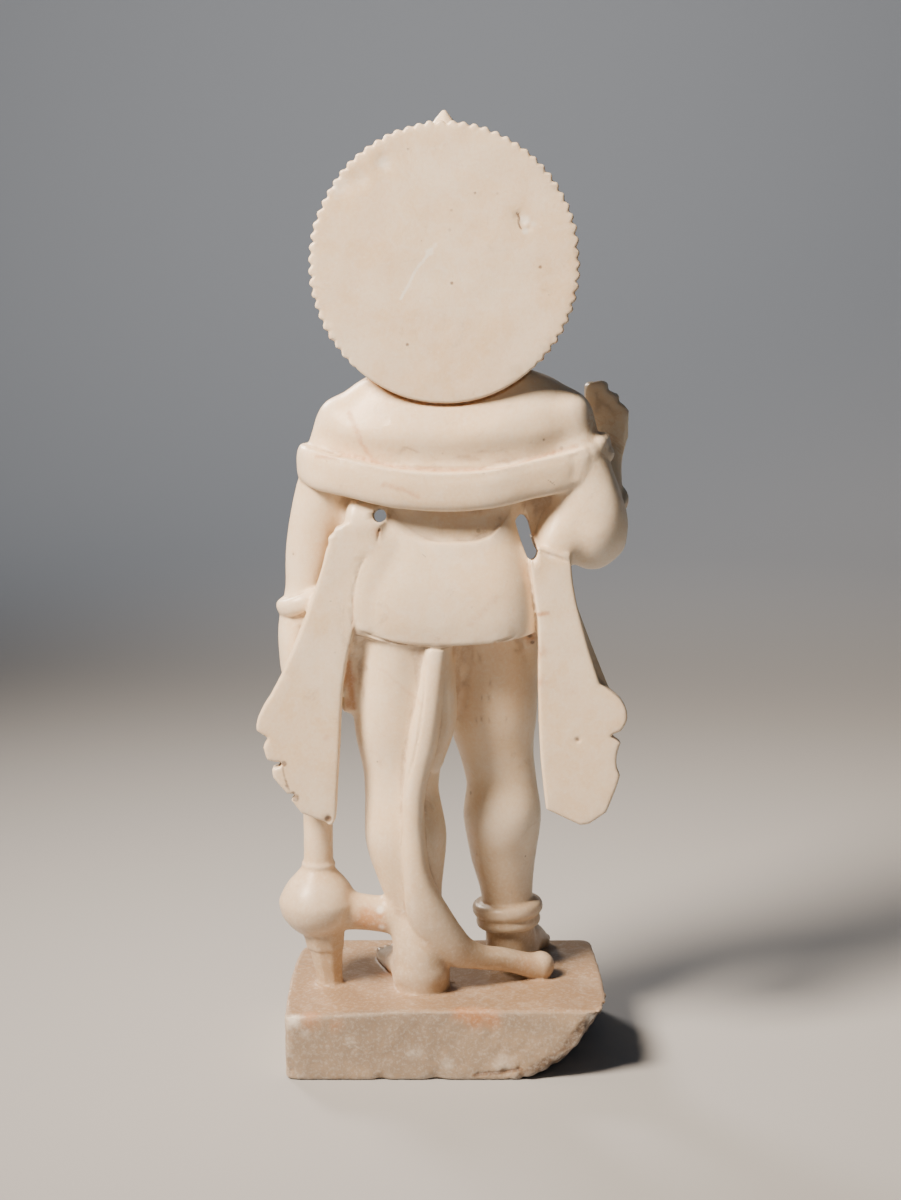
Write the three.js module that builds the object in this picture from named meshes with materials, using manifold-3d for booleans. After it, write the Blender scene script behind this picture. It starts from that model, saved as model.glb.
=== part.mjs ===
// A standing marble figure of Hanuman, the monkey-faced hero of Indian legend, carved in one block with its
// plinth. Behind the crowned head is a round halo with a scalloped rim. The right hand is raised, open, to bless,
// and the left holds a mace that stands on its foot. A scarf crosses the back, turns round both arms and ends in
// two flat pleated ends, and the tail runs down the back of the left leg and out over the plinth.
// Millimetres, +Z up. The figure faces -Y, its left is +X, and the origin is the middle of the underside.
import * as THREE from "three";
import { mergeVertices } from "three/addons/utils/BufferGeometryUtils.js";
import Module from "manifold-3d";

// Driving dimensions
const height = 457;
const plinth = {
  left: 76, right: -78, back: 51.5, front: -54, high: 35, frontLeft: 22, frontRight: 8, backCorner: 4,
};
const halo = {
  x: -0.4, z: 385.9, wide: 61.5, tall: 63.7, back: 30, thick: 11, teeth: 75, tooth: 1.4, bare: 50,
};
const hips = { wide: 43.5, back: 33, front: 29, hem: 209, waist: 257.5, seat: 282 };
const scarf = { thick: 5, half: 9.2 };
const sash = { back: 30, thick: 10 };
const mace = { x: 61.5, y: 10, headWide: 19, headZ: 76.4, headHigh: 17.4, shaft: 7.2, top: 214 };
const holes = { slope: 0.145, face: 10, boreX: 30.3, boreZ: 267, bore: 3.2 };
const head = { y: -7, wide: 26.5 };
const crown = { y: -8, wide: 27.5, foot: 393 };
const grain = 1.5;

const marble = { color: 0xe3d3bd, roughness: 0.42, metalness: 0 };

const wasm = await Module();
wasm.setup();

const Y = new THREE.Vector3(0, 1, 0);
const Z = new THREE.Vector3(0, 0, 1);
const flat = [0, 0];
const vector = ([x, y, z]) => new THREE.Vector3(x, y, z);
const radians = THREE.MathUtils.degToRad;

// The same scatter of numbers from -1 to 1 on every run
function scatter(seed) {
  let state = seed;
  return () => {
    state = (state * 16807) % 2147483647;
    return (2 * state) / 2147483647 - 1;
  };
}

function weld(geometry) {
  const bare = new THREE.BufferGeometry().setAttribute("position", geometry.getAttribute("position").clone());
  if (geometry.index) bare.setIndex(geometry.index.clone());
  return mergeVertices(bare, 1e-3);
}

// A closed solid from any closed geometry, turned right side out
function solid(geometry) {
  const merged = weld(geometry);
  const triVerts = new Uint32Array(merged.index.array);
  const vertProperties = merged.attributes.position.array;
  const made = new wasm.Manifold(new wasm.Mesh({ numProp: 3, vertProperties, triVerts }));
  if (made.volume() > 0) return made;
  return new wasm.Manifold(new wasm.Mesh({ numProp: 3, vertProperties, triVerts: triVerts.reverse() }));
}

const joined = (solids) => solids.reduce((all, one) => all.add(one));

// One skin over closed rings of equal count, drawn together at each end to a tip
function skin(rings, tips) {
  const count = rings[0].length;
  const points = [...rings.flat(), ...tips];
  const last = (rings.length - 1) * count;
  const faces = [];
  for (let j = 0; j < count; j++) {
    const k = (j + 1) % count;
    for (let i = 0; i < last; i += count) {
      faces.push(i + j, i + k, i + k + count, i + j, i + k + count, i + j + count);
    }
    faces.push(k, j, points.length - 2, last + j, last + k, points.length - 1);
  }
  const geometry = new THREE.BufferGeometry().setFromPoints(points);
  geometry.setIndex(faces);
  return geometry;
}

// A rounded form through stations [x, y, z, wide, back, front], with every value smoothed from one to the next.
// The section is an oval, or squarer as "square" grows past 2, and stands square to the path, or level. "towards"
// is the way that the back half faces. "ends" says how far a dome stands past each end, as a share of the end's
// smaller half.
const usual = { sides: 10, towards: Y, level: false, square: 2, ends: [0.8, 0.8] };

function form(stations, settings = {}) {
  const { sides, towards, level, square, ends } = { ...usual, ...settings };
  const curve = (rows) => new THREE.CatmullRomCurve3(rows.map(vector), false, "catmullrom", 0.5);
  const place = curve(stations);
  const size = curve(stations.map(([, , , wide, back, front = back]) => [wide, back, front]));
  const power = (v) => Math.sign(v) * Math.abs(v) ** (2 / square);
  const ring = (t, shrink, push) => {
    const [at, half] = [place.getPoint(t), size.getPoint(t)];
    const along = level ? Z.clone().multiplyScalar(Math.sign(place.getTangent(t).z)) : place.getTangent(t);
    const back = towards.clone().addScaledVector(along, -towards.dot(along)).normalize();
    const side = back.clone().cross(along);
    at.addScaledVector(along, push * Math.min(half.x, half.y, half.z));
    return Array.from({ length: sides }, (_, j) => {
      const turn = (2 * Math.PI * j) / sides;
      const deep = power(Math.sin(turn)) * (Math.sin(turn) > 0 ? half.y : half.z) * shrink;
      const out = power(Math.cos(turn)) * half.x * shrink;
      return at.clone().addScaledVector(side, out).addScaledVector(back, deep);
    });
  };
  const spans = stations.length - 1;
  const rings = Array.from({ length: spans + 1 }, (_, i) => ring(i / spans, 1, 0));
  if (ends[0]) rings.unshift(ring(0, 0.72, -0.7 * ends[0]));
  if (ends[1]) rings.push(ring(1, 0.72, 0.7 * ends[1]));
  return solid(skin(rings, [ring(0, 0, -ends[0])[0], ring(1, 0, ends[1])[0]]));
}

// An oval lump at a place, with half sizes along X, Y and Z, turned by degrees about X, Y and Z
function lump([x, y, z], [a, b, c], turn = [0, 0, 0], sides = 8, rows = 5) {
  const geometry = new THREE.SphereGeometry(1, sides, rows).rotateX(Math.PI / 2).scale(a, b, c);
  geometry.applyMatrix4(new THREE.Matrix4().makeRotationFromEuler(new THREE.Euler(...turn.map(radians))));
  return solid(geometry.translate(x, y, z));
}

// A flat plate standing across the figure: an outline in X and Z, from its back face forwards
function plate(shape, back, thick, curveSegments = 4) {
  const geometry = new THREE.ExtrudeGeometry(shape, { depth: thick, bevelEnabled: false, curveSegments });
  return solid(geometry.rotateX(Math.PI / 2).translate(0, back, 0));
}

// A turned piece: [radius, z] from the bottom up, closed on its axis
function turned(profile, sides, [x, y]) {
  const points = profile.map(([r, z]) => new THREE.Vector2(r, z));
  return solid(new THREE.LatheGeometry(points, sides).rotateX(Math.PI / 2).translate(x, y, 0));
}

// A ring worn on a limb: a bulging band round a place, tipped by degrees about X and Y
function band([x, y, z], wide, deep, thick, high, tip = [0, 0], sides = 14) {
  const bead = new THREE.TorusGeometry(1, 1, 4, sides);
  const at = bead.attributes.position;
  for (let i = 0; i < at.count; i++) {
    const turn = (2 * Math.PI * (i % (sides + 1))) / sides;
    const around = (Math.PI * Math.floor(i / (sides + 1))) / 2;
    const out = thick * Math.cos(around);
    at.setXYZ(i, (wide + out) * Math.cos(turn), (deep + out) * Math.sin(turn), (high / 2) * Math.sin(around));
  }
  return solid(bead.rotateX(radians(tip[0])).rotateY(radians(tip[1])).translate(x, y, z));
}

// The plinth: a slab with a straight back, rounded front corners, worn edges and a broken lower back corner
function makePlinth() {
  const { left, right, back, front, high, frontLeft, frontRight, backCorner } = plinth;
  const shape = new THREE.Shape();
  const bulge = 1.5;
  shape.moveTo(right + frontRight, front);
  shape.lineTo(left - frontLeft, front);
  shape.quadraticCurveTo(left - 3, front, left - bulge, front + frontLeft);
  shape.quadraticCurveTo(left + bulge, 0, left, back - backCorner);
  shape.quadraticCurveTo(left, back, left - backCorner, back);
  shape.lineTo(right + backCorner, back);
  shape.quadraticCurveTo(right, back, right, back - backCorner);
  shape.quadraticCurveTo(right - bulge, 0, right + bulge, front + frontRight);
  shape.quadraticCurveTo(right + bulge, front, right + frontRight, front);
  const bevel = 1.2;
  const slab = new THREE.ExtrudeGeometry(shape, {
    depth: high - 2 * bevel,
    bevelThickness: bevel,
    bevelSize: bevel,
    bevelOffset: -bevel,
    bevelSegments: 1,
    curveSegments: 3,
  }).translate(0, 0, bevel);
  const breaks = joined([
    roughBlock([[-73, 52, 34.5], [-57, 52, 12], [-78, -24, 8]], 41),
    roughBlock([[-62, 52, 15], [-37, 52, 0], [-78.5, 6, 0]], 77),
    wornEdge(),
  ]);
  return solid(slab).subtract(breaks);
}

// Stone knocked off the right back corner: a block whose uneven face passes through three places
function roughBlock(places, seed) {
  const corners = places.map(vector);
  const plane = new THREE.Plane().setFromCoplanarPoints(...corners);
  const out = plane.normal.x < 0 ? plane.normal : plane.normal.negate();
  const rough = scatter(seed);
  const block = weld(new THREE.BoxGeometry(130, 130, 60, 7, 7, 1));
  const at = block.attributes.position;
  for (let i = 0; i < at.count; i++) if (at.getZ(i) < 0) at.setZ(i, at.getZ(i) + rough());
  const middle = corners[0].clone().add(corners[1]).add(corners[2]).divideScalar(3).addScaledVector(out, 30);
  block.applyQuaternion(new THREE.Quaternion().setFromUnitVectors(Z, out));
  return solid(block.translate(middle.x, middle.y, middle.z));
}

// The wear that takes the top down towards the left back corner
function wornEdge() {
  const block = new THREE.BoxGeometry(120, 60, 20).translate(0, 0, 10);
  return solid(block.rotateY(radians(5.2)).rotateX(radians(-5)).translate(75, 62, 31.4));
}

// The halo: a disc, plain behind, scalloped but for its foot, with a raised rim and a rosette in front
function makeHalo() {
  const { x, z, wide, tall, back, thick, teeth, tooth, bare } = halo;
  const round = (count, radius) => Array.from({ length: count }, (_, i) => {
    const turn = (2 * Math.PI * i) / count;
    const grow = radius(turn, i);
    return new THREE.Vector2(x + grow * wide * Math.cos(turn), z + grow * tall * Math.sin(turn));
  });
  const scallops = round(teeth * 2, (turn, i) => {
    const fromFoot = THREE.MathUtils.radToDeg(Math.abs(Math.atan2(Math.cos(turn), -Math.sin(turn))));
    const show = THREE.MathUtils.smoothstep(fromFoot, bare - 12, bare);
    return 1 + ((i % 2 ? tooth : -tooth) * show) / wide;
  });
  const rim = new THREE.Shape(round(32, () => 0.955));
  rim.holes.push(new THREE.Path(round(32, () => 0.86)));
  const rosette = new THREE.Shape(round(40, (turn, i) => (i % 2 ? 0.8 : 0.69)));
  const face = back - thick;
  const raised = 1.6;
  return joined([
    plate(new THREE.Shape(scallops), back, thick),
    plate(rim, face + 1, raised + 1.4),
    plate(rosette, face + 1, raised + 1),
  ]);
}

// Legs, from under the garment to the sole
const leftLeg = [
  [22, 4, 222, 20, 26, 22], [22, 6, 190, 22, 24, 22], [21.5, 8, 165, 22, 21, 21],
  [20.6, 9, 146, 19.2, 17, 18.5], [20.6, 10, 132, 18, 16, 18.5], [18.5, 12, 110, 19.8, 18, 15.5],
  [16, 13.4, 90, 16, 14, 14], [13.2, 14, 71, 11.8, 11, 11], [12, 16, 52, 12.4, 12.4, 12],
  [11.4, 17.4, 33, 13.4, 13.4, 14],
];
const rightLeg = [
  [-23, -3, 222, 20, 20, 20], [-23.5, -6, 190, 22.4, 20, 19], [-24, -9, 165, 21.8, 18.5, 18],
  [-26, -10.5, 147, 18.4, 15, 17.5], [-28.3, -10.5, 132, 17.4, 15, 17], [-28.8, -9.5, 115, 19.2, 18.5, 15],
  [-29.5, -12, 95, 16.6, 15, 14], [-31.2, -14, 76, 13.2, 12.5, 12.5], [-33, -16.5, 56, 12.4, 12, 12],
  [-34, -17, 33, 12.6, 12.5, 14],
];
const heelBall = { place: [11.2, 20.6, 48], half: [13.8, 13, 12.6] };

// A foot from the heel to the ball, with five toes fanned over its end. "out" is +1 with the little toe at +X.
function makeFoot([hx, hy], [bx, by], out) {
  const sole = plinth.high;
  const along = new THREE.Vector3(bx - hx, by - hy, 0).normalize();
  const across = new THREE.Vector3(-along.y, along.x, 0).multiplyScalar(out * Math.sign(-along.y));
  const instep = form([
    [hx, hy, sole + 5, 13, 9, 7], [hx + along.x * 13, hy + along.y * 13, sole + 8, 12, 13, 10],
    [hx + along.x * 27, hy + along.y * 27, sole + 5, 12.5, 8, 7], [bx, by, sole + 3, 13, 5.4, 5],
  ], { sides: 8, towards: Z });
  const turn = THREE.MathUtils.radToDeg(Math.atan2(along.y, along.x)) + 90;
  const toes = [-9.6, -3.6, 1.2, 5.6, 9.6].map((offset, i) => {
    const length = [9, 8.6, 8, 7, 6][i];
    const [wide, high] = i === 0 ? [3.7, 4.4] : [2.6, 3.6];
    const at = new THREE.Vector3(bx, by, sole + 3).addScaledVector(across, offset);
    at.addScaledVector(along, length - 4);
    return lump([at.x, at.y, at.z], [wide, length, high], [0, 0, turn], 6, 3);
  });
  return joined([instep, ...toes]);
}

// The tail, from under the hem down the left leg and out over the plinth to its rounded end
const tail = [
  [3.8, 24.6, 216, 5.4, 6.4], [4.2, 26.4, 203, 5.6, 6.4], [6.6, 28, 182, 6, 6.6], [10.2, 28.8, 160, 6.8, 7],
  [14, 28.5, 138, 5.4, 7], [14.8, 28.5, 118, 5.4, 7], [13.2, 29, 96, 6.6, 7.4], [8, 27, 76, 10, 8],
  [-3, 22.5, 58, 9.6, 7.5], [-16, 16, 50, 6.2, 6.5], [-30, 9.5, 46, 5.6, 6], [-43, 5, 42, 6, 6.4],
  [-49.5, 3, 40.6, 6.6, 6.6],
];

// The bare body, in level sections from the seat to the neck
const body = [
  [-1, 2, 214, 40, 24, 24], [-1, 2, 228, 39.5, 26, 24], [-2, 2, 250, 35, 26, 24], [-3.5, 2, 266, 33, 24, 23],
  [-3.6, 3, 279, 41, 25, 25.5], [-4.2, 4, 293, 55, 28, 27.5], [-5.3, 5, 306, 64.5, 28.5, 28],
  [-6, 5.5, 316, 62, 26, 25], [-6.8, 6, 324.5, 55, 23, 22], [-7.2, 6, 332, 45.2, 19, 18.5],
  [-7, 6, 338, 31, 15, 16], [0, 4, 352, 17, 14, 15],
];

// The cloth round the hips, a little proud of the body, with a girdle in front and a sharp hem
function makeGarment() {
  const { wide, back, front, hem, waist, seat } = hips;
  const cloth = form([
    [-0.8, 1, hem, wide + 0.4, back - 1.2, front], [-0.8, 1, hem + 12, wide + 0.4, back, front],
    [-0.8, 1, 234, wide - 0.6, back - 0.6, front - 1], [-1.5, 1, 246, 40.5, 30.2, 26.5],
    [-3, 1.5, waist, 35.4, 27.2, 24], [-3.4, 1.8, 268, 34, 25.8, 22], [-3.8, 2.2, seat, 36, 25.5, 20],
  ], { sides: 20, square: 4, level: true, ends: flat });
  const girdle = band([-2.4, -2, 252], 34.5, 23.5, 3, 8, [5, 0], 16);
  return joined([cloth, girdle]);
}

// The pleated front fall of the garment, over the gap between the thighs
function makeFrontFall() {
  const folds = [-1, 0, 1].map((i) => form([
    [i * 5.6 - 1, -25, 250, 3.8, 3.4], [i * 7 - 1, -28, 226, 4.4, 3.8], [i * 9.4 - 1, -26.6, 196, 5.8, 4.2],
    [i * 12 - 1, -24.5, 158 + 5 * Math.abs(i), 7.2, 4.2],
  ], { sides: 6 }));
  return joined(folds);
}

// Slanting folds that wrap the front of the hips
function makeWrapFolds(side) {
  return joined([0, 1].map((i) => form([
    [side * 9, -28.5, 236 - 12 * i, 2.6, 2.4], [side * (24 + i), -27, 226 - 9 * i, 2.8, 2.4],
    [side * 38, -16, 228 - 8 * i, 2, 2.2],
  ], { sides: 4, towards: Z })));
}

// Arms, from the shoulder to the wrist
const leftArm = [
  [46, 6, 312, 14.6, 16], [51, 6, 296, 14.6, 15], [54.6, 5, 284, 14.4, 14], [58.8, 4, 270, 14, 13.5],
  [62.8, 3, 253, 12.9, 12.5], [65.4, 2.5, 239, 11.2, 11.5], [67.6, 3, 229, 9.2, 10], [69.6, 4, 220, 8.8, 9.2],
];
const rightArm = [
  [-54.4, 6, 313, 16, 17], [-59.5, 8, 298, 15.8, 17.5], [-65, 10, 283, 16.4, 17.5],
  [-69.6, 11, 267.5, 17, 17.5], [-74, 8, 255, 13.4, 14],
];
const rightForearm = [
  [-74, 8, 256, 13.4, 12], [-75.5, -4, 262, 11.5, 12], [-77.5, -15, 274, 9.4, 9.6], [-78.8, -22, 286, 8, 7.2],
  [-79.2, -25, 294, 8.6, 6],
];
const leftShoulder = { place: [45, 6, 308.5], half: [17, 14, 16.6] };
const rightShoulder = { place: [-55, 6, 312], half: [17, 15, 17.4] };
const elbow = { place: [-70.6, 11, 263], half: [17.4, 18.4, 21.6] };

// A finger through places, with its radius at the root and at the tip
function finger(places, root, tip) {
  const count = places.length - 1;
  const radius = (i) => root + ((tip - root) * i) / count;
  return form(places.map((p, i) => [...p, radius(i), radius(i)]), { sides: 5 });
}

// The open right hand: the palm faces forwards, with four fingers side by side and the thumb towards the head
function makeBlessingHand() {
  const palm = form([
    [-79, -25, 291, 8.4, 5], [-79, -26, 300, 10.8, 5], [-79.4, -26.8, 311, 11, 4.4],
  ], { sides: 8 });
  const depth = -26.8;
  const tips = [[-71.4, 329], [-76.8, 329.6], [-82.2, 323.8], [-87.4, 316.6]];
  const fingers = tips.map(([x, z], i) => {
    const root = -71.6 - 5.2 * i;
    const radius = 3.2 - 0.15 * i;
    const middle = [(root + x) / 2, depth - 1, (306 - i + z) / 2];
    return finger([[root, depth, 306 - i], middle, [x, depth, z - radius]], radius, radius - 0.4);
  });
  const thumb = finger([[-72, -27, 295], [-67.4, -28.5, 302], [-65.8, -28.5, 308.5]], 3.6, 2.7);
  return joined([palm, ...fingers, thumb, plate(handBack(), depth + 4, 4)]);
}

// The plain back of the raised hand, its four fingers joined
function handBack() {
  const shape = new THREE.Shape();
  shape.moveTo(-72, 296);
  shape.quadraticCurveTo(-68.6, 304, -69, 322);
  shape.lineTo(-72.6, 327.6);
  shape.lineTo(-77, 328.4);
  shape.lineTo(-79.8, 323.4);
  shape.lineTo(-85, 318);
  shape.lineTo(-89.8, 311.6);
  shape.quadraticCurveTo(-89, 303, -87.4, 294);
  shape.quadraticCurveTo(-84, 290, -78, 290);
  return shape;
}

// The left hand closed round the shaft of the mace
function makeGrip() {
  const back = form([
    [70.4, 4.8, 221, 8.4, 9], [71.6, 5, 210, 8.5, 10.5], [71.2, 5.4, 201, 8.6, 10.5], [70.4, 6, 192, 8.4, 9.5],
  ], { sides: 8 });
  const fingers = [0, 1, 2, 3].map((i) => {
    const z = 211 - 6 * i;
    return finger([[76, 0, z + 1], [71, -6.4, z], [62, -7.4, z - 0.5], [56, -1, z - 1]], 3.5, 3);
  });
  return joined([back, ...fingers]);
}

// The mace: a melon head on a tapering foot, a plain shaft, a knob above the hand, and a strut to the leg
function makeMace() {
  const { x, y, headWide, headZ, headHigh, shaft, top } = mace;
  const ball = lump([x + 0.4, y, headZ], [headWide, headWide, headHigh], [0, 0, 0], 16, 8);
  const stem = form([
    [x, y, headZ + 10, shaft, shaft], [x, y, 120, shaft, shaft], [x + 1.5, y - 1, 160, 6.8, 6.8],
    [x + 3.5, y - 3, 195, 6.4, 6.4], [x + 4, y - 3, top, 6.2, 6.2],
  ], { sides: 8, ends: flat });
  const knob = lump([x + 4.3, y - 3, top + 5], [8.6, 8.6, 7]);
  const collar = band([x, y, 94.5], shaft - 0.5, shaft - 0.5, 2.2, 4.5, [0, 0], 8);
  const foot = form([
    [56.8, y, 33, 6.8, 6.8], [57.1, y, 42, 7, 7], [57.9, y, 51.5, 8.2, 8.2], [58.4, y, 53.5, 10.2, 10.2],
    [59, y, 60, 10.6, 10.6], [60, y, 68, 12.4, 12.4],
  ], { sides: 8, level: true, ends: flat });
  const strut = form([
    [54, 11, 73, 12.4, 12], [46, 11.5, 72, 9.4, 9.5], [38, 12, 71.2, 8.1, 8.8], [29, 13, 70.6, 8.4, 9],
    [20, 14, 70, 9, 10],
  ], { sides: 8, towards: Z });
  return joined([ball, stem, knob, collar, foot, strut]);
}

// The scarf: a thick folded band across the back and round each upper arm, hanging in front from arm to side
function makeScarf() {
  const { thick, half } = scarf;
  const acrossBack = [
    [48, -17, 285], [60, -12, 288.5], [65.2, 0, 291.6], [64.4, 12, 292], [57.5, 22, 290], [43, 28.5, 287.4],
    [26, 31.8, 283.6], [9, 33, 281.8], [-8, 33, 281.6], [-24, 32, 283.2], [-41, 28.6, 286.8],
    [-56, 25.5, 289.8], [-68, 20, 293.4], [-74.6, 10, 296.8], [-75, -3, 297], [-70, -13, 293], [-58, -17, 287],
  ];
  const fall = (x, side) => form([
    [x - side, -15.5, 288, 8.6, 4.6], [x - side * 9, -16.5, 276, 9, 5], [x - side * 14, -10.5, 262, 9, 5.5],
    [x - side * 16, 5, 250, 8.5, 6], [x - side * 17, 16, 240, 8, 6],
  ], { sides: 6 });
  const rows = acrossBack.map(([x, y, z]) => [x, y, z, thick, half, half]);
  const cloth = form(rows, { towards: Z, square: 3, ends: [0.4, 0.4] });
  return joined([cloth, fall(58, 1), fall(-68, -1)]);
}

// The left scarf end seen from behind, from its broken top corner down to the chipped zigzag of its pleats
function leftSashShape() {
  const shape = new THREE.Shape();
  shape.moveTo(31, 270);
  shape.quadraticCurveTo(43, 268.5, 48.5, 264.4);
  shape.lineTo(55.4, 254.2);
  shape.quadraticCurveTo(57.5, 243, 62.8, 228.7);
  shape.quadraticCurveTo(70, 206, 82.8, 182.8);
  shape.quadraticCurveTo(90.5, 172, 89.1, 166.3);
  const zigzag = [
    [83.7, 162.8], [86.2, 158.5], [84.5, 152.2], [76.8, 150.2], [82.1, 147.6], [81.6, 143.5], [75, 135.6],
    [69.6, 135.4], [73.2, 132.6], [68.3, 126], [58.7, 122.4], [55.3, 120],
  ];
  for (const [x, z] of zigzag) shape.lineTo(x, z);
  shape.quadraticCurveTo(51.6, 119.5, 51.4, 128);
  shape.quadraticCurveTo(49.6, 160, 48.2, 185);
  shape.quadraticCurveTo(46, 203, 43, 212);
  shape.quadraticCurveTo(41, 232, 36, 250);
  return shape;
}

// The right scarf end, which has lost less of its edge
function rightSashShape() {
  const shape = new THREE.Shape();
  shape.moveTo(-39, 254);
  shape.quadraticCurveTo(-43, 232, -44.5, 215);
  shape.quadraticCurveTo(-44.6, 172, -46.4, 150);
  shape.lineTo(-48.9, 127.8);
  shape.lineTo(-65.3, 120.1);
  shape.lineTo(-69.5, 120.6);
  shape.lineTo(-77.7, 126.3);
  shape.quadraticCurveTo(-81.5, 135, -84.2, 144.6);
  shape.quadraticCurveTo(-80.5, 151, -84, 160.3);
  shape.lineTo(-79.4, 163.9);
  shape.lineTo(-83.8, 166);
  shape.quadraticCurveTo(-90.5, 173, -84, 181.6);
  shape.quadraticCurveTo(-80, 185.5, -74, 189.1);
  shape.quadraticCurveTo(-66.5, 211.5, -62.5, 228.7);
  shape.quadraticCurveTo(-60.5, 238, -59.3, 250);
  return shape;
}

// A scarf end: a flat plate behind, with pleats that fan down its front
function makeSash(shape, [tx, tz], feet) {
  const { back, thick } = sash;
  const face = back - thick + 0.6;
  const pleats = feet.map(([x, z]) => form([
    [tx + (x - tx) * 0.08, face, tz, 2.2, 2.4], [tx + (x - tx) * 0.5, face - 0.3, (tz + z) / 2, 3.6, 3],
    [x, face, z, 4.6, 3.2],
  ], { sides: 4 }));
  return joined([plate(shape, back, thick), ...pleats]);
}

// Stone left standing between the arms and the body, the scarf ends and the thighs, and the two thighs
function makeWebs() {
  const across = { sides: 6, towards: Z };
  const upright = { sides: 6, square: 3 };
  return joined([
    form([
      [33, 12, 276, 8, 13], [34.5, 13, 262, 10, 16], [37.4, 13, 248, 10, 16.6], [40.8, 13, 232, 9, 16.6],
      [43, 13, 217, 7, 16], [44.6, 12, 200, 4, 10], [45, 12, 176, 2.6, 5],
    ], upright),
    form([[-1, 1, 216, 10, 17], [-1, -1, 188, 9, 14], [-1.5, -2, 163, 5, 9]], { sides: 8, square: 3 }),
    form([
      [11, 14, 220, 9, 14.6], [12.4, 14, 190, 9, 13.8], [15, 14, 160, 8, 12.6], [17, 14, 130, 7, 10],
    ], upright),
    form([
      [-40, 12, 254, 6, 13], [-41.5, 9, 225, 5.5, 12], [-42.6, 3, 200, 4.6, 8], [-43.4, -1, 172, 3.4, 6],
    ], upright),
    form([
      [-50, 20, 232, 6.4, 8.6], [-51, 19, 246, 8.4, 11], [-54, 17.5, 258, 11.5, 13],
      [-60, 15.5, 269, 14.5, 14.4], [-66, 12, 282, 15, 16],
    ], upright),
    form([[22, 12, 285, 9, 8], [40, 12, 276, 9, 10], [54, 9, 270, 9, 14]], across),
    form([[-26, 12, 286, 9, 10], [-44, 13, 270, 10, 19], [-60, 12, 266, 11, 20]], across),
  ]);
}

// The drilled hole at the left armpit and the slot at the right, both sloping down towards the front
function armHoles() {
  const { slope, face, boreX, boreZ, bore } = holes;
  const circle = new THREE.Shape().absarc(boreX, boreZ, bore, 0, 2 * Math.PI);
  const slot = new THREE.Shape();
  slot.moveTo(-33.6, 264.5);
  slot.quadraticCurveTo(-36.5, 271, -39.8, 265);
  slot.quadraticCurveTo(-42, 257, -44.6, 250);
  slot.quadraticCurveTo(-42.8, 243.4, -39.2, 247.4);
  slot.quadraticCurveTo(-35.5, 256, -33.6, 264.5);
  const tilted = new THREE.Matrix4().set(1, 0, 0, 0, 0, 1, 0, 0, 0, slope, 1, -slope * face, 0, 0, 0, 1);
  return joined([circle, slot].map((shape, i) => {
    const settings = { depth: 90, bevelEnabled: false, curveSegments: i ? 3 : 10 };
    const geometry = new THREE.ExtrudeGeometry(shape, settings);
    return solid(geometry.rotateX(Math.PI / 2).translate(0, 50, 0).applyMatrix4(tilted));
  }));
}

// The head: skull, jaw, jutting muzzle, full cheeks, heavy brows, round ears and open almond eyes
function makeHead() {
  const { y, wide } = head;
  const skull = form([
    [0, y + 4, 340, 15, 18, 14], [0, y + 1, 349, 20.5, 22, 19], [0, y, 360, 25, 26, 22],
    [0, y, 372, wide, 27, 23], [0, y, 386, 26, 27, 23], [0, y, 400, 22, 24, 19],
  ], { sides: 12, level: true });
  const muzzle = lump([0, -29, 359.5], [15.5, 12, 10.5], [0, 0, 0], 10, 6);
  const parts = [skull, muzzle, lump([0, -27, 350.5], [11.5, 9, 6.8])];
  parts.push(lump([0, -36.6, 367.6], [5, 4.2, 3.8], [0, 0, 0], 6, 4));
  for (const side of [-1, 1]) {
    parts.push(lump([side * 15.5, -21, 361], [9, 9.5, 10.5]));
    parts.push(lump([side * 9.6, -27.6, 377], [5.4, 3.6, 3.5], [0, 0, side * 12], 6, 4));
    parts.push(form([
      [side * 2.2, -30.6, 381.6, 2.2, 2.2], [side * 9, -31.4, 385.4, 2.5, 2.5], [side * 17, -25.6, 382.4, 2, 2],
    ], { sides: 4, towards: Z }));
    parts.push(lump([side * 27, -6, 374], [3.6, 7, 9], [0, side * 8, side * -18], 6, 4));
    parts.push(lump([side * 26.4, -7, 360], [3.6, 7, 7], [0, 0, 0], 8, 4));
  }
  return joined(parts).subtract(mouthLine());
}

function mouthLine() {
  return form([
    [-16, -27, 358, 0.9, 0.9], [-10, -37.2, 354.6, 1, 1], [0, -40.6, 353.6, 1, 1], [10, -37.2, 354.6, 1, 1],
    [16, -27, 358, 0.9, 0.9],
  ], { sides: 3, towards: Z });
}

// The crown: a beaded band with five leaves, a domed cap and the bud whose tip stands over the halo
function makeCrown() {
  const { y, wide, foot } = crown;
  const cap = turned([
    [0, foot], [wide, foot], [wide + 0.8, foot + 3], [wide, foot + 9], [wide - 2, foot + 11], [25.6, 410],
    [25.6, 416], [23, 422], [18, 428], [14.5, 429], [14.5, 433], [6.5, 437], [9, 443.5], [7.4, 448],
    [0, height],
  ], 14, [0, y]);
  const leaf = new THREE.Shape();
  leaf.moveTo(-8, 0);
  leaf.quadraticCurveTo(-9, 11, 0, 24);
  leaf.quadraticCurveTo(9, 11, 8, 0);
  const leaves = [-72, -36, 0, 36, 72].map((turn) => {
    const size = turn === 0 ? 1.12 : 0.92;
    const geometry = new THREE.ExtrudeGeometry(leaf, { depth: 4, bevelEnabled: false, curveSegments: 2 });
    geometry.scale(size, size, 1).rotateX(Math.PI / 2).rotateX(radians(-9)).translate(0, -wide + 2, 0);
    return solid(geometry.rotateZ(radians(turn)).translate(0, y, foot + 8));
  });
  return joined([cap, ...leaves]);
}

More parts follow.
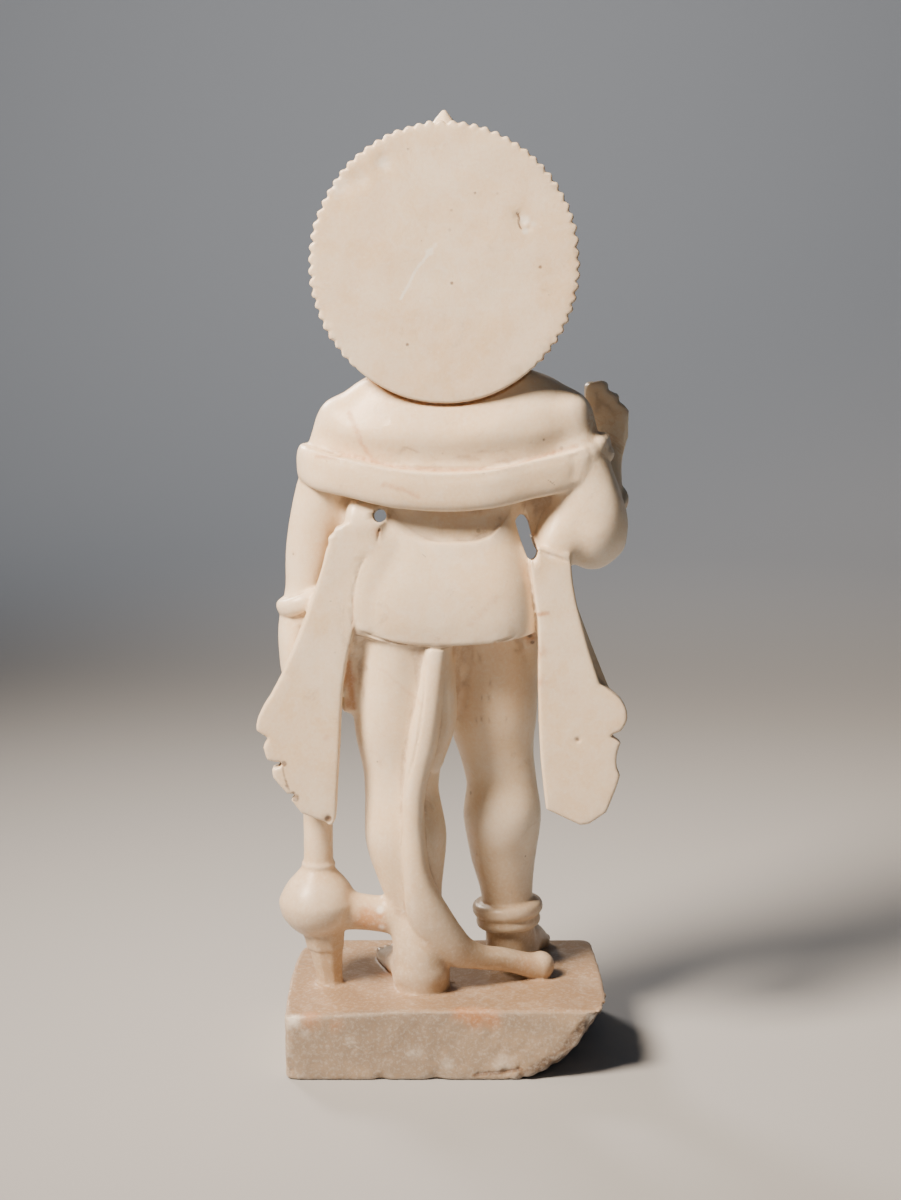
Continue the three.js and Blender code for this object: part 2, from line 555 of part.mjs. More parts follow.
// Two necklaces laid over the chest, and a pendant
function makeNecklaces() {
  const strand = (reach, low, radius) => form([-1, -0.75, -0.4, 0, 0.4, 0.75, 1].map((s) => [
    s * reach, -25 + 22 * Math.abs(s) ** 2.6, low + (334 - low) * Math.abs(s) ** 1.7, radius, radius,
  ]), { sides: 4, towards: Z });
  const pendant = lump([0, -27, 284], [5, 3.6, 6.5], [0, 0, 0], 6, 4);
  return joined([strand(19, 317, 3.4), strand(27, 291, 3.2), pendant]);
}

// Chest and belly, the shoulders and the elbow, and the ball of the left heel
function makeSwells() {
  const breasts = [-1, 1].map((side) => {
    return lump([side * 21 - 4, -11, 303], [23, 15.5, 15], [0, 0, side * 8], 10, 6);
  });
  const rounds = [leftShoulder, rightShoulder, elbow, heelBall];
  const swells = rounds.map(({ place, half }) => lump(place, half, [0, 0, 0], 10, 6));
  return joined([...breasts, lump([-2, -7, 270], [26, 18, 16], [0, 0, 0], 10, 6), ...swells]);
}

function makeStatue() {
  const parts = [
    makePlinth(),
    form(body, { sides: 20, level: true, square: 2.3, ends: flat }),
    form(leftLeg, { sides: 14, ends: flat }),
    form(rightLeg, { sides: 14, ends: flat }),
    makeFoot([12, 20], [22, -21], 1),
    makeFoot([-34, -15], [-42, -43], -1),
    band([-31.8, -15.5, 63], 13, 12.6, 4.7, 11, [0, 4]),
    form(tail, { sides: 8, ends: [0, 0.9] }),
    form(leftArm, { sides: 12 }),
    form(rightArm, { sides: 12 }),
    form(rightForearm),
    band([67.6, 6, 226], 10, 10.4, 3.6, 8.5, [0, 22]),
    band([-77.2, -14, 272], 9.6, 9.6, 3, 7, [-35, 0]),
    makeSwells(), makeGarment(), makeFrontFall(), makeWrapFolds(1), makeWrapFolds(-1), makeWebs(), makeScarf(),
    makeNecklaces(),
    makeSash(leftSashShape(), [50, 252], [[58, 128], [67, 134], [76, 146], [83, 166]]),
    makeSash(rightSashShape(), [-52, 246], [[-55, 130], [-65, 127], [-75, 132], [-81, 168]]),
    makeBlessingHand(), makeGrip(), makeMace(), makeHalo(), makeHead(), makeCrown(),
  ];
  return joined(parts).subtract(armHoles());
}

// Joining leaves slivers where two skins cross. Every edge shorter than "shortest" is drawn together to its
// middle, as long as the skin stays closed and no face next to it turns over.
function dropSlivers(points, faces, shortest) {
  const around = points.map(() => new Set());
  faces.forEach((face, i) => face.forEach((v) => around[v].add(i)));
  const neighbours = (v) => new Set([...around[v]].flatMap((i) => faces[i]).filter((w) => w !== v));
  const facing = (face, moved, place) => {
    const [a, b, c] = face.map((v) => (moved.includes(v) ? place : points[v]));
    return b.clone().sub(a).cross(c.clone().sub(a));
  };
  const keepsFacing = (moved, place) => moved.every((v) => [...around[v]].every((i) => {
    if (moved.every((w) => faces[i].includes(w))) return true;
    const [old, now] = [facing(faces[i], [], place), facing(faces[i], moved, place)];
    return old.length() < 1e-3 || now.dot(old) > 0.5 * now.length() * old.length();
  }));
  const gather = () => {
    const edges = [];
    faces.forEach((face) => face?.forEach((a, k) => {
      const b = face[(k + 1) % 3];
      const long = points[a].distanceTo(points[b]);
      if (a < b && long < shortest) edges.push([long, a, b]);
    }));
    return edges.sort((p, q) => p[0] - q[0]);
  };
  const drawTogether = (a, b) => {
    const shared = [...neighbours(a)].filter((v) => neighbours(b).has(v));
    const place = points[a].clone().lerp(points[b], 0.5);
    if (!neighbours(a).has(b) || shared.length !== 2 || !keepsFacing([a, b], place)) return 0;
    points[a] = place;
    for (const i of around[b]) {
      if (faces[i].includes(a)) {
        faces[i].forEach((v) => around[v].delete(i));
        faces[i] = null;
      } else {
        faces[i] = faces[i].map((v) => (v === b ? a : v));
        around[a].add(i);
      }
    }
    around[b].clear();
    return 1;
  };
  for (let pass = 0; pass < 4; pass++) gather().forEach(([, a, b]) => drawTogether(a, b));
  return faces.filter((face) => face);
}

// A three.js mesh from the carved solid
function meshOf(carved, name) {
  const { numProp, vertProperties, triVerts } = carved.getMesh();
  const count = vertProperties.length / numProp;
  const points = Array.from({ length: count }, (_, i) => vector(vertProperties.slice(3 * i, 3 * i + 3)));
  const faces = Array.from({ length: triVerts.length / 3 }, (_, i) => [...triVerts.slice(3 * i, 3 * i + 3)]);
  const kept = dropSlivers(points, faces, grain);
  const geometry = new THREE.BufferGeometry().setFromPoints(points);
  geometry.setIndex(kept.flat());
  geometry.computeVertexNormals();
  const mesh = new THREE.Mesh(geometry, new THREE.MeshStandardMaterial(marble));
  mesh.name = name;
  return mesh;
}

const figure = new THREE.Group();
figure.add(meshOf(makeStatue(), "hanuman_statue"));

export default figure;
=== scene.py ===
# The marble Hanuman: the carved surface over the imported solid, its stone, and the floor, light and camera.
# Shapes are worked out in millimetres, with the figure facing -y, and become metres as they enter a mesh.
import time
from math import pi, radians

import bmesh
import bpy
import numpy as np
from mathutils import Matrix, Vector
from mathutils.bvhtree import BVHTree


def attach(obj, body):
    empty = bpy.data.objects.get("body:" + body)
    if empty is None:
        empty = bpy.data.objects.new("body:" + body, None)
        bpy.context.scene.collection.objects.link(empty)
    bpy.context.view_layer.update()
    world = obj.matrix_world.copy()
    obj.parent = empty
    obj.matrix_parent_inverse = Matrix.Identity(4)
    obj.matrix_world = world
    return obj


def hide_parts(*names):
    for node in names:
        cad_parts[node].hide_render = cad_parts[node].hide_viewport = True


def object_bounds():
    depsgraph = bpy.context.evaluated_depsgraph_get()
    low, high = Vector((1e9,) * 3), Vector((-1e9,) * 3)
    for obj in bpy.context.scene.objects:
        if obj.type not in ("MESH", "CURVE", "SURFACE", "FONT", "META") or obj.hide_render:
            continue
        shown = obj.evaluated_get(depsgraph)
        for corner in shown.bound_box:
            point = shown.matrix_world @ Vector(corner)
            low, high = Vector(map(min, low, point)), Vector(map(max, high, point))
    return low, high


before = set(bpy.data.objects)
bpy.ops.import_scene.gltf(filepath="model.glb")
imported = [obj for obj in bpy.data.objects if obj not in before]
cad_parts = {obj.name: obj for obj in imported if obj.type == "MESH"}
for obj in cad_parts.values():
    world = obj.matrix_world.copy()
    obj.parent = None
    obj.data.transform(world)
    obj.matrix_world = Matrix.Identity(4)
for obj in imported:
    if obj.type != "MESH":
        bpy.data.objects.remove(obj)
cadLow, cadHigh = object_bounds()
metre = 1000
began = time.time()
whole = metre * (cadHigh.z - cadLow.z)  # height of the figure with its plinth


def report(stage):
    print(f"{stage}: {time.time() - began:.1f} s")


# Camera: where the photograph was taken from, looking slightly down
cameraSet = dict(place=(-0.0031, 1.0488, 0.4095), down=10, lens=66, sensor=36)


def makeCamera(s):
    data = bpy.data.cameras.new("camera")
    data.lens = s["lens"]
    data.sensor_width = s["sensor"]
    camera = bpy.data.objects.new("camera", data)
    camera.location = s["place"]
    camera.rotation_euler = (radians(90 - s["down"]), 0, radians(180))
    bpy.context.scene.collection.objects.link(camera)
    bpy.context.scene.camera = camera


makeCamera(cameraSet)


# Tools for shapes: each returns its points and a list of face arrays


def unit(v):
    return v / np.maximum(np.linalg.norm(v, axis=-1, keepdims=True), 1e-9)


# A smooth line through rows: on each stretch a cubic whose slope at a row is half the step between its neighbours
def spline(rows, t):
    rows = np.asarray(rows, float)
    padded = np.vstack([2 * rows[0] - rows[1], rows, 2 * rows[-1] - rows[-2]])
    i = np.clip(np.asarray(t).astype(int), 0, len(rows) - 2)
    u = (t - i)[:, None]
    a, b, c, d = (padded[i + k] for k in range(4))
    return 0.5 * (2 * b + (c - a) * u + (2 * a - 5 * b + 4 * c - d) * u**2 + (3 * b - a - 3 * c + d) * u**3)


def smoothLine(rows, count):
    return spline(rows, np.linspace(0, len(rows) - 1, count))


# Rings of points joined into four-sided faces, round each ring and from ring to ring
def skin(rings, capped=False):
    rows, sides = rings.shape[:2]
    i, j = np.meshgrid(np.arange(rows - 1), np.arange(sides), indexing="ij")
    k = (j + 1) % sides
    quads = np.stack([i * sides + j, i * sides + k, (i + 1) * sides + k, (i + 1) * sides + j], -1).reshape(-1, 4)
    faces = [quads]
    if capped:
        faces += [np.arange(sides)[None, ::-1], np.arange((rows - 1) * sides, rows * sides)[None]]
    return rings.reshape(-1, 3), faces


# A round form carried along a smooth line. A row is x, y, z, half width, half depth behind, half depth in front.
# A ring's point is the middle + side * width * cos(turn) + back * depth * sin(turn), with both waves raised to
# the power 2 / square. Each end is a dome: rings shrunk by cos(a) and pushed out by sin(a).
def limb(rows, square=2, level=False, towards=(0, 1, 0), ends=(0.8, 0.8), step=1.3, sides=56, facets=0):
    rows = np.array([r if len(r) == 6 else (*r, r[-1]) for r in rows], float)
    reach = np.linalg.norm(np.diff(rows[:, :3], axis=0), axis=1).sum()
    count = max(10, int(reach / step))
    values = smoothLine(rows, count)
    along = unit(np.gradient(values[:, :3], axis=0))
    if level:
        along = np.array([0, 0, 1]) * np.sign(along[:, 2:])
    back = np.array(towards, float) - (along @ np.array(towards, float))[:, None] * along
    back = unit(back)
    side = np.cross(back, along)
    dome = np.linspace(0, pi / 2, 7)[1:]
    row = np.concatenate([np.zeros(6, int), np.arange(count), np.full(6, count - 1)])
    shrink = np.concatenate([np.cos(dome[::-1]), np.ones(count), np.cos(dome)])
    push = np.concatenate([-ends[0] * np.sin(dome[::-1]), np.zeros(count), ends[1] * np.sin(dome)])
    turn = 2 * pi * np.arange(sides) / sides
    c, s = (np.sign(w) * np.abs(w) ** (2 / square) for w in (np.cos(turn), np.sin(turn)))
    if facets:
        part = pi / facets
        flat = np.cos(part) / np.cos((turn + part) % (2 * part) - part)
        c, s = c * flat, s * flat
    values, along, back, side = values[row], along[row], back[row], side[row]
    half = values[:, 3:] * shrink[:, None]
    depth = np.where(s > 0, half[:, 1:2], half[:, 2:3]) * s
    middle = values[:, :3] + along * (push * values[:, 3:].min(axis=1))[:, None]
    rings = middle[:, None] + side[:, None] * (half[:, :1] * c)[..., None] + back[:, None] * depth[..., None]
    return skin(rings)


# Turns points by degrees about x, then y, then z, and moves them
def placed(shape, turn=(0, 0, 0), move=(0, 0, 0)):
    points, faces = shape
    for axis, angle in enumerate(turn):
        c, s = np.cos(radians(angle)), np.sin(radians(angle))
        u, v = (axis + 1) % 3, (axis + 2) % 3
        points = points.copy()
        points[:, u], points[:, v] = c * points[:, u] - s * points[:, v], s * points[:, u] + c * points[:, v]
    return points + np.array(move, float), faces


# An oval lump: width * cos(lat) * cos(turn), depth * cos(lat) * sin(turn), height * sin(lat)
def lump(place, half, turn=(0, 0, 0), sides=36):
    lat = np.linspace(-pi / 2, pi / 2, sides // 2)
    around = 2 * pi * np.arange(sides) / sides
    flat = np.stack([np.cos(around), np.sin(around)], -1)
    rings = np.concatenate([
        np.cos(lat)[:, None, None] * flat,
        np.broadcast_to(np.sin(lat)[:, None, None], (len(lat), sides, 1)),
    ], -1) * np.array(half)
    return placed(skin(rings), turn, place)


# Many small beads at once: one ball carried to every place
def beads(places, radius, flatten=(1, 1, 1)):
    places = np.asarray(places, float)
    points, (quads,) = lump((0, 0, 0), radius * np.array(flatten), sides=12)
    count = len(places)
    every = (places[:, None] + points).reshape(-1, 3)
    return every, [(quads[None] + len(points) * np.arange(count)[:, None, None]).reshape(-1, 4)]


# Places spaced evenly along a smooth line
def spaced(rows, gap):
    line = smoothLine(rows, 400)
    run = np.concatenate([[0], np.cumsum(np.linalg.norm(np.diff(line, axis=0), axis=1))])
    stops = np.linspace(0, run[-1], max(2, int(run[-1] / gap)))
    return np.stack([np.interp(stops, run, line[:, k]) for k in range(3)], 1)


# The place where a line looking inward at "place" first meets the stone, raised by "lift"; "away" points outward
def seated(tree, place, away, lift=0):
    away = Vector(away).normalized()
    hit = tree.ray_cast(Vector(place) / metre + 0.06 * away, -away)[0]
    return np.array(hit * metre + away * lift if hit else place)


# A closed outline from corners (u, v) and curved steps (bend u, bend v, u, v), set out every half millimetre or so
def outline(steps, gap=0.6):
    at = np.array(steps[0][-2:], float)
    points = []
    for step in [*steps[1:], steps[0][-2:]]:
        end = np.array(step[-2:], float)
        bend = np.array(step[:2], float) if len(step) == 4 else (at + end) / 2
        count = max(2, int(np.linalg.norm(end - at) / gap))
        t = np.arange(count)[:, None] / count
        points.append((1 - t) ** 2 * at + 2 * t * (1 - t) * bend + t**2 * end)
        at = end
    return np.concatenate(points)


# A flat piece: its outline carried from low to high, with both edges rounded by drawing the outline in along its
# own normal by radius * (1 - sin(a)) as it nears a face by radius * (1 - cos(a)). It stands in x and z, or lies.
def plate(shape, low, high, radius=1, standing=True):
    ahead = np.roll(shape, -2, axis=0) - np.roll(shape, 2, axis=0)
    area = np.sum(shape[:, 0] * np.roll(shape[:, 1], -1) - np.roll(shape[:, 0], -1) * shape[:, 1])
    normal = unit(np.stack([ahead[:, 1], -ahead[:, 0]], -1)) * np.sign(area)
    a = np.linspace(0, pi / 2, 5)
    inset = radius * (1 - np.sin(a))
    depth = radius * (1 - np.cos(a))
    inset = np.concatenate([inset, inset[::-1]])
    level = np.concatenate([low + depth, high - depth[::-1]])
    flat = shape[None] - normal[None] * inset[:, None, None]
    third = np.broadcast_to(level[:, None, None], (*flat.shape[:2], 1))
    parts = [flat[..., :1], third, flat[..., 1:]] if standing else [flat, third]
    return skin(np.concatenate(parts, -1), capped=True)


# A turned piece: a smooth or cornered profile of radius and height, spun round an upright axis, with waves of
# "flutes" that swell its radius by a share
def turned(profile, x=0, y=0, flutes=0, swell=0, smooth=True, sides=112):
    profile = np.array(profile, float)
    line = smoothLine(profile, 8 * len(profile)) if smooth else profile
    line = np.vstack([[0, line[0, 1]], line, [0, line[-1, 1]]])
    turn = 2 * pi * np.arange(sides) / sides
    grow = 1 + swell * np.abs(np.cos(flutes * turn / 2)) if flutes else np.ones(sides)
    rings = np.stack([
        x + np.maximum(line[:, :1], 0) * grow * np.cos(turn),
        y + np.maximum(line[:, :1], 0) * grow * np.sin(turn),
        np.broadcast_to(line[:, 1:], (len(line), sides)),
    ], -1)
    return skin(rings)


# A ring worn on a limb: an oval path whose bulging section reaches "thick" out and half of "high" up and down
def bangle(place, wide, deep, thick, high, tip=(0, 0, 0), square=2.4):
    around, across = (2 * pi * np.arange(n) / n for n in (96, 20))
    wave = [np.sign(w) * np.abs(w) ** (2 / square) for w in (np.cos(across), np.sin(across))]
    out = thick * wave[0]
    rings = np.stack([
        (wide + out)[None] * np.cos(around)[:, None],
        (deep + out)[None] * np.sin(around)[:, None],
        np.broadcast_to(high / 2 * wave[1], (96, 20)),
    ], -1)
    return placed(skin(np.concatenate([rings, rings[:1]])), tip, place)


# Smooth noise from -1 to 1: random numbers on a lattice of cubes, eased from corner to corner
def unevenness(points, size, seed):
    table = np.random.default_rng(seed).uniform(-1, 1, (32, 32, 32))
    cell = points / size + 100.5
    low = np.floor(cell).astype(int)
    part = cell - low
    ease = part * part * (3 - 2 * part)
    total = np.zeros(len(points))
    for corner in np.ndindex(2, 2, 2):
        share = np.prod(np.where(corner, ease, 1 - ease), axis=1)
        total += share * table[tuple(((low + corner) % 32).T)]
    return total


# 0 below low, 1 above high, eased between
def eased(value, low, high):
    t = np.clip((value - low) / (high - low), 0, 1)
    return t * t * (3 - 2 * t)


# Tools for meshes


def objectOf(name, shapes):
    mesh = bpy.data.meshes.new(name)
    offset, points, corners, sizes = 0, [], [], []
    for shapePoints, faces in shapes:
        points.append(shapePoints)
        for block in faces:
            corners.append((block + offset).ravel())
            sizes.append(np.full(len(block), block.shape[1]))
        offset += len(shapePoints)
    points, corners, sizes = np.concatenate(points), np.concatenate(corners), np.concatenate(sizes)
    mesh.vertices.add(len(points))
    mesh.vertices.foreach_set("co", (points / metre).astype(np.float32).ravel())
    mesh.loops.add(len(corners))
    mesh.loops.foreach_set("vertex_index", corners.astype(np.int32))
    mesh.polygons.add(len(sizes))
    mesh.polygons.foreach_set("loop_start", np.concatenate([[0], np.cumsum(sizes)[:-1]]).astype(np.int32))
    mesh.polygons.foreach_set("loop_total", sizes.astype(np.int32))
    mesh.update(calc_edges=True)
    obj = bpy.data.objects.new(name, mesh)
    bpy.context.scene.collection.objects.link(obj)
    return obj


def dropped(obj):
    mesh = obj.data
    bpy.data.objects.remove(obj)
    bpy.data.meshes.remove(mesh)


# Bakes a modifier into the object's own mesh
def applied(obj, kind, **settings):
    modifier = obj.modifiers.new("finish", kind)
    for key, value in settings.items():
        setattr(modifier, key, value)
    made = bpy.data.meshes.new_from_object(obj.evaluated_get(bpy.context.evaluated_depsgraph_get()))
    old = obj.data
    obj.modifiers.clear()
    obj.data = made
    bpy.data.meshes.remove(old)
    return obj


# One skin over shapes that run through each other, in cells of the given size
def fused(name, shapes, cell):
    return applied(objectOf(name, shapes), "REMESH", mode="VOXEL", voxel_size=cell / metre)


def pointsOf(mesh, what="co"):
    values = np.empty(3 * len(mesh.vertices), np.float32)
    mesh.vertices.foreach_get(what, values)
    return values.reshape(-1, 3).astype(float) * (metre if what == "co" else 1)


def setPoints(mesh, points):
    mesh.vertices.foreach_set("co", (points / metre).astype(np.float32).ravel())
    mesh.update()


# Edges no longer than "longest", so that the long ones a cut leaves pull nothing together
def edgesOf(mesh, longest=2.6):
    values = np.empty(2 * len(mesh.edges), np.int32)
    mesh.edges.foreach_get("vertices", values)
    a, b = values.reshape(-1, 2).T
    points = pointsOf(mesh)
    short = np.linalg.norm(points[a] - points[b], axis=1) < longest
    return a[short], b[short]


# The mean of each point's neighbours
def around(values, edges):
    a, b = edges
    count = len(values)
    number = np.bincount(a, minlength=count) + np.bincount(b, minlength=count)
    columns = [
        np.bincount(a, v[b], count) + np.bincount(b, v[a], count) for v in values.reshape(count, -1).T
    ]
    return (np.stack(columns, 1) / np.maximum(number, 1)[:, None]).reshape(values.shape)


# Raises what lies below the mean of its neighbours, so that creases fill while edges stay sharp
def fillHollows(mesh, rounds, amount=0.8, weight=None):
    edges = edgesOf(mesh)
    points, normals = pointsOf(mesh), pointsOf(mesh, "normal")
    share = amount if weight is None else amount * weight(points)
    for _ in range(rounds):
        pull = ((around(points, edges) - points) * normals).sum(1)
        points += (share * np.maximum(pull, 0))[:, None] * normals
    setPoints(mesh, points)


# Draws every point towards the mean of its neighbours
def relax(mesh, rounds, amount=0.5, weight=None):
    edges = edgesOf(mesh)
    points = pointsOf(mesh)
    share = np.full(len(points), amount) if weight is None else amount * weight(points)
    for _ in range(rounds):
        points += share[:, None] * (around(points, edges) - points)
    setPoints(mesh, points)


# Distance from each point to a drawn line, and how far along it the nearest place lies, from 0 to 1
def toLine(points, line):
    best, along = np.full(len(points), np.inf), np.zeros(len(points))
    for i, (a, b) in enumerate(zip(line[:-1], line[1:])):
        run = b - a
        t = np.clip((points - a) @ run / max(run @ run, 1e-9), 0, 1)
        gap = np.linalg.norm(points - a - t[:, None] * run, axis=1)
        closer = gap < best
        best[closer] = gap[closer]
        along[closer] = (i + t[closer]) / (len(line) - 1)
    return best, along


# Plinth

plinth = dict(
    left=76, right=-78, back=51.5, front=-54, high=35, frontLeft=22, frontRight=8, backCorner=4, bulge=1.5,
    edge=1.3, cell=1.1,
    breaks=[  # three places on each broken face, and how uneven it is
        (((-73, 52, 34.5), (-57, 52, 12), (-78, -24, 8)), 2.6),
        (((-62, 52, 15), (-37, 52, 0), (-78.5, 6, 0)), 2.4),
    ],
    worn=((75, 51.5, 31.4), (75, -20, 35), (10, 51.5, 35)),
)


# Whatever stands past the plane through three places, made uneven by noise, is drawn back to it
def planeOff(points, places, rough, seed, out):
    a, b, c = np.array(places, float)
    normal = unit(np.cross(b - a, c - a))
    normal *= np.sign(normal @ out)
    past = (points - a) @ normal
    for size, share in ((13, 1), (6.4, 0.5), (2.8, 0.16)):
        past -= rough * share * unevenness(points, size, seed + int(size))
    return points - np.maximum(past, 0)[:, None] * normal


def makePlinth(s):
    left, right, back, front, bulge = (s[k] for k in ("left", "right", "back", "front", "bulge"))
    corner, fl, fr = s["backCorner"], s["frontLeft"], s["frontRight"]
    shape = outline([
        (right + fr, front), (left - fl, front), (left - 3, front, left - bulge, front + fl),
        (left + bulge, 0, left, back - corner), (left, back, left - corner, back), (right + corner, back),
        (right, back, right, back - corner), (right - bulge, 0, right + bulge, front + fr),
        (right + bulge, front, right + fr, front),
    ])
    slab = fused("slab", [plate(shape, 0, s["high"], s["edge"], standing=False)], s["cell"])
    points = pointsOf(slab.data)
    for i, (places, rough) in enumerate(s["breaks"]):
        points = planeOff(points, places, rough, 20 + i, np.array([-1, 0.5, -0.5]))
    points = planeOff(points, s["worn"], 0.2, 30, np.array([0, 0, 1]))
    setPoints(slab.data, points)
    faces = quadsOf(slab.data)
    dropped(slab)
    return points, [faces]


def quadsOf(mesh):
    corners = np.empty(len(mesh.loops), np.int32)
    mesh.loops.foreach_get("vertex_index", corners)
    return corners.reshape(-1, 4)


# Body, legs, arms and the stone left between them

limbs = dict(
    body=[
        (-1, 2, 214, 40, 24, 24), (-1, 2, 228, 39.5, 26, 24), (-2, 2, 250, 35, 26, 24), (-3.5, 2, 266, 33, 24, 23),
        (-3.6, 3, 279, 41, 25, 25.5), (-4.2, 4, 293, 55, 28, 27.5), (-5.3, 5, 306, 64.5, 28.5, 28),
        (-6, 5.5, 316, 62, 24.6, 25), (-6.8, 6, 324.5, 55, 20.6, 22), (-7.2, 6, 332, 45.2, 19, 18.5),
        (-7, 6, 338, 31, 15, 16), (0, 4, 352, 17, 14, 15),
    ],
    leftLeg=[
        (22, 4, 222, 20, 26, 22), (22, 6, 190, 22, 24, 22), (21.5, 8, 165, 22, 21, 21), (20.6, 9, 146, 19.2, 17, 18.5),
        (20.6, 10, 132, 18, 16, 18.5), (18.5, 12, 110, 19.8, 18, 15.5), (16, 13.4, 90, 16, 14, 14),
        (13.2, 14.5, 76, 12.4, 12, 11), (12.2, 16, 64, 13, 14, 12), (11.2, 17.6, 52, 13.9, 15.6, 13),
        (10.5, 18.2, 42, 13.4, 15, 13.6), (10.2, 18, 33, 12.6, 13.4, 14),
    ],
    rightLeg=[
        (-23, -5, 222, 20, 18, 20), (-23.5, -8, 190, 22.4, 18.6, 19), (-24, -10, 165, 21.8, 18, 18),
        (-26, -10.5, 147, 18.4, 15, 17.5), (-28.3, -10.5, 132, 17.4, 15, 17), (-28.8, -9.5, 115, 19.2, 18.5, 15),
        (-29.5, -12, 95, 16.6, 15, 14), (-31.2, -14, 76, 13.2, 12.5, 12.5), (-33, -16.5, 56, 12.4, 12, 12),
        (-34, -17, 33, 12.6, 12.5, 14),
    ],
    leftArm=[
        (46, 6, 312, 14.6, 16), (51, 6, 296, 14.6, 15), (54.6, 5, 284, 14.4, 14), (58.8, 4, 270, 14, 13.5),
        (62.8, 3, 253, 12.9, 12.5), (65.4, 2.5, 239, 11.2, 11.5), (67.6, 3, 229, 9.2, 10), (69.6, 4, 220, 8.8, 9.2),
    ],
    rightArm=[
        (-54.4, 6, 313, 16, 18.6), (-59.5, 8, 298, 15.8, 18.4), (-65, 10, 283, 16.4, 17.5),
        (-69.6, 11, 267.5, 17, 17.5), (-74, 8, 255, 13.4, 14),
    ],
    rightForearm=[
        (-74, 8, 256, 13.4, 12), (-75.5, -4, 262, 11.5, 12), (-77.5, -15, 274, 9.4, 9.6), (-78.8, -22, 286, 8, 7.2),
        (-79.2, -25, 294, 8.6, 6),
    ],
    webs=[  # how square, and the rows
        (5, [
            (36, 7, 274, 6, 10), (37, 12, 267, 9.4, 17), (37.4, 13, 258, 10, 17), (40, 13, 244, 9, 17),
            (42, 13, 230, 8, 17), (43.4, 12.6, 217, 7, 17), (44, 9, 205, 6, 14), (44.2, 8, 194, 5.6, 13),
            (44.4, 8, 183, 5.2, 12.4), (44.6, 8, 175, 4.8, 11.6),
        ]),
        (3.4, [
            (20, 13, 263, 7, 11), (24.3, 15, 258.8, 7, 12.6), (28, 16.6, 252.7, 7, 13.2), (32.4, 17.4, 244.6, 7, 13.4),
            (35.4, 17.6, 233, 7, 13.6), (36.2, 17.6, 213.4, 7, 13.6),
        ]),
        (2.4, [(4, 17, 216, 6.5, 12.6), (2, 18.4, 190, 7.2, 12), (1.6, 17.4, 170, 7.4, 11.4), (7, 16, 150, 7, 12)]),
        (3, [(-1, 0, 216, 10, 16), (-1, -3, 188, 9, 13), (-1.5, -4, 163, 5, 8)]),
        (3, [(8, 14, 220, 11, 14.8), (9.4, 14, 190, 11, 14), (12.6, 13, 160, 10, 13), (15.6, 13, 130, 8.6, 11)]),
        (3, [(-40, 12, 254, 6, 13), (-41.5, 8, 225, 5.5, 11), (-42, 1, 206, 4.6, 8), (-42.4, -5, 188, 3.4, 6)]),
        (2.6, [
            (-50, 20, 232, 6.4, 8.6), (-51, 19, 246, 8.6, 11), (-55, 17, 256, 11.5, 12.6), (-61, 13.5, 266, 14, 13.4),
            (-66, 9, 278, 14, 14),
        ]),
    ],
    crossWebs=[
        [(22, 12, 285, 7, 8), (40, 10, 276, 5.6, 10), (54, 7, 270, 6.6, 14)],
        [(-26, 12, 286, 8, 10), (-44, 12, 272, 6, 19), (-60, 10, 266, 9, 20)],
    ],
    lumps=[  # chest, belly, shoulders, heel, elbow, knees
        ((-25, -11, 303), (23, 15.5, 15), -8), ((17, -11, 303), (23, 15.5, 15), 8), ((-2, -7, 270), (26, 18, 16), 0),
        ((45, 6, 308.5), (17, 14, 16.6), 0), ((-54, 6, 311), (18, 17, 18), 0), ((11, 24.6, 45), (12.6, 9, 11), 0),
        ((-70.6, 11, 263), (17.4, 18.4, 21.6), 0), ((20.6, -5.4, 142), (10, 6, 10), 0), ((-26.6, -23.4, 142), (10, 6.4, 10), 0),
    ],
)

garment = dict(
    square=4.6,
    rows=[
        (-0.8, 1, 209, 43.9, 31.6, 29), (-0.8, 1, 212, 44.1, 32.2, 29.2), (-0.8, 1, 221, 43.9, 33, 29),
        (-0.8, 1, 234, 42.9, 32.4, 28), (-1.5, 1, 246, 40.5, 30.2, 26.5), (-3, 1.5, 257.5, 35.4, 27.2, 24),
        (-3.4, 1.8, 268, 34, 25.8, 22), (-3.8, 2.2, 282, 36, 25.5, 20),
    ],
)

feet = [  # heel, ball, and which way the little toe lies
    ((12, 20), (22, -21), 1),
    ((-34, -15), (-42, -43), -1),
]


# The foot's own frame: how far along it and across it, from the ball
def footAxes(heel, ball, out):
    along = unit(np.array([ball[0] - heel[0], ball[1] - heel[1], 0.0]))
    across = np.array([-along[1], along[0], 0]) * out * np.sign(-along[1])
    return along, across


def makeFoot(heel, ball, out):
    sole = plinth["high"]
    along, _ = footAxes(heel, ball, out)
    hx, hy, z = heel[0], heel[1], sole
    rows = [
        (hx, hy, z + 5, 13, 9, 7), (hx + along[0] * 13, hy + along[1] * 13, z + 8, 12, 13, 10),
        (hx + along[0] * 27, hy + along[1] * 27, z + 5, 12.5, 8, 7), (ball[0], ball[1], z + 3, 13, 5.4, 5),
    ]
    return limb(rows, towards=(0, 0, 1))


def makeToes(heel, ball, out):
    along, across = footAxes(heel, ball, out)
    turn = np.degrees(np.arctan2(along[1], along[0])) + 90
    toes = []
    for offset, length, wide, high in [
        (-9.4, 9.4, 3.7, 4.4), (-3.6, 8.8, 2.7, 3.7), (1.2, 8, 2.6, 3.6), (5.6, 7, 2.5, 3.4), (9.5, 6, 2.5, 3.2)
    ]:
        place = np.array([*ball, plinth["high"] + 2.6]) + across * offset + along * (length - 4)
        toes.append(lump(place, (wide, length, high), (0, 0, turn)))
        toes.append(lump(place + along * (length - 2.6) + (0, 0, 0.7), (wide * 0.92, 2.6, high * 0.82), (0, 0, turn)))
    return toes


# Mace

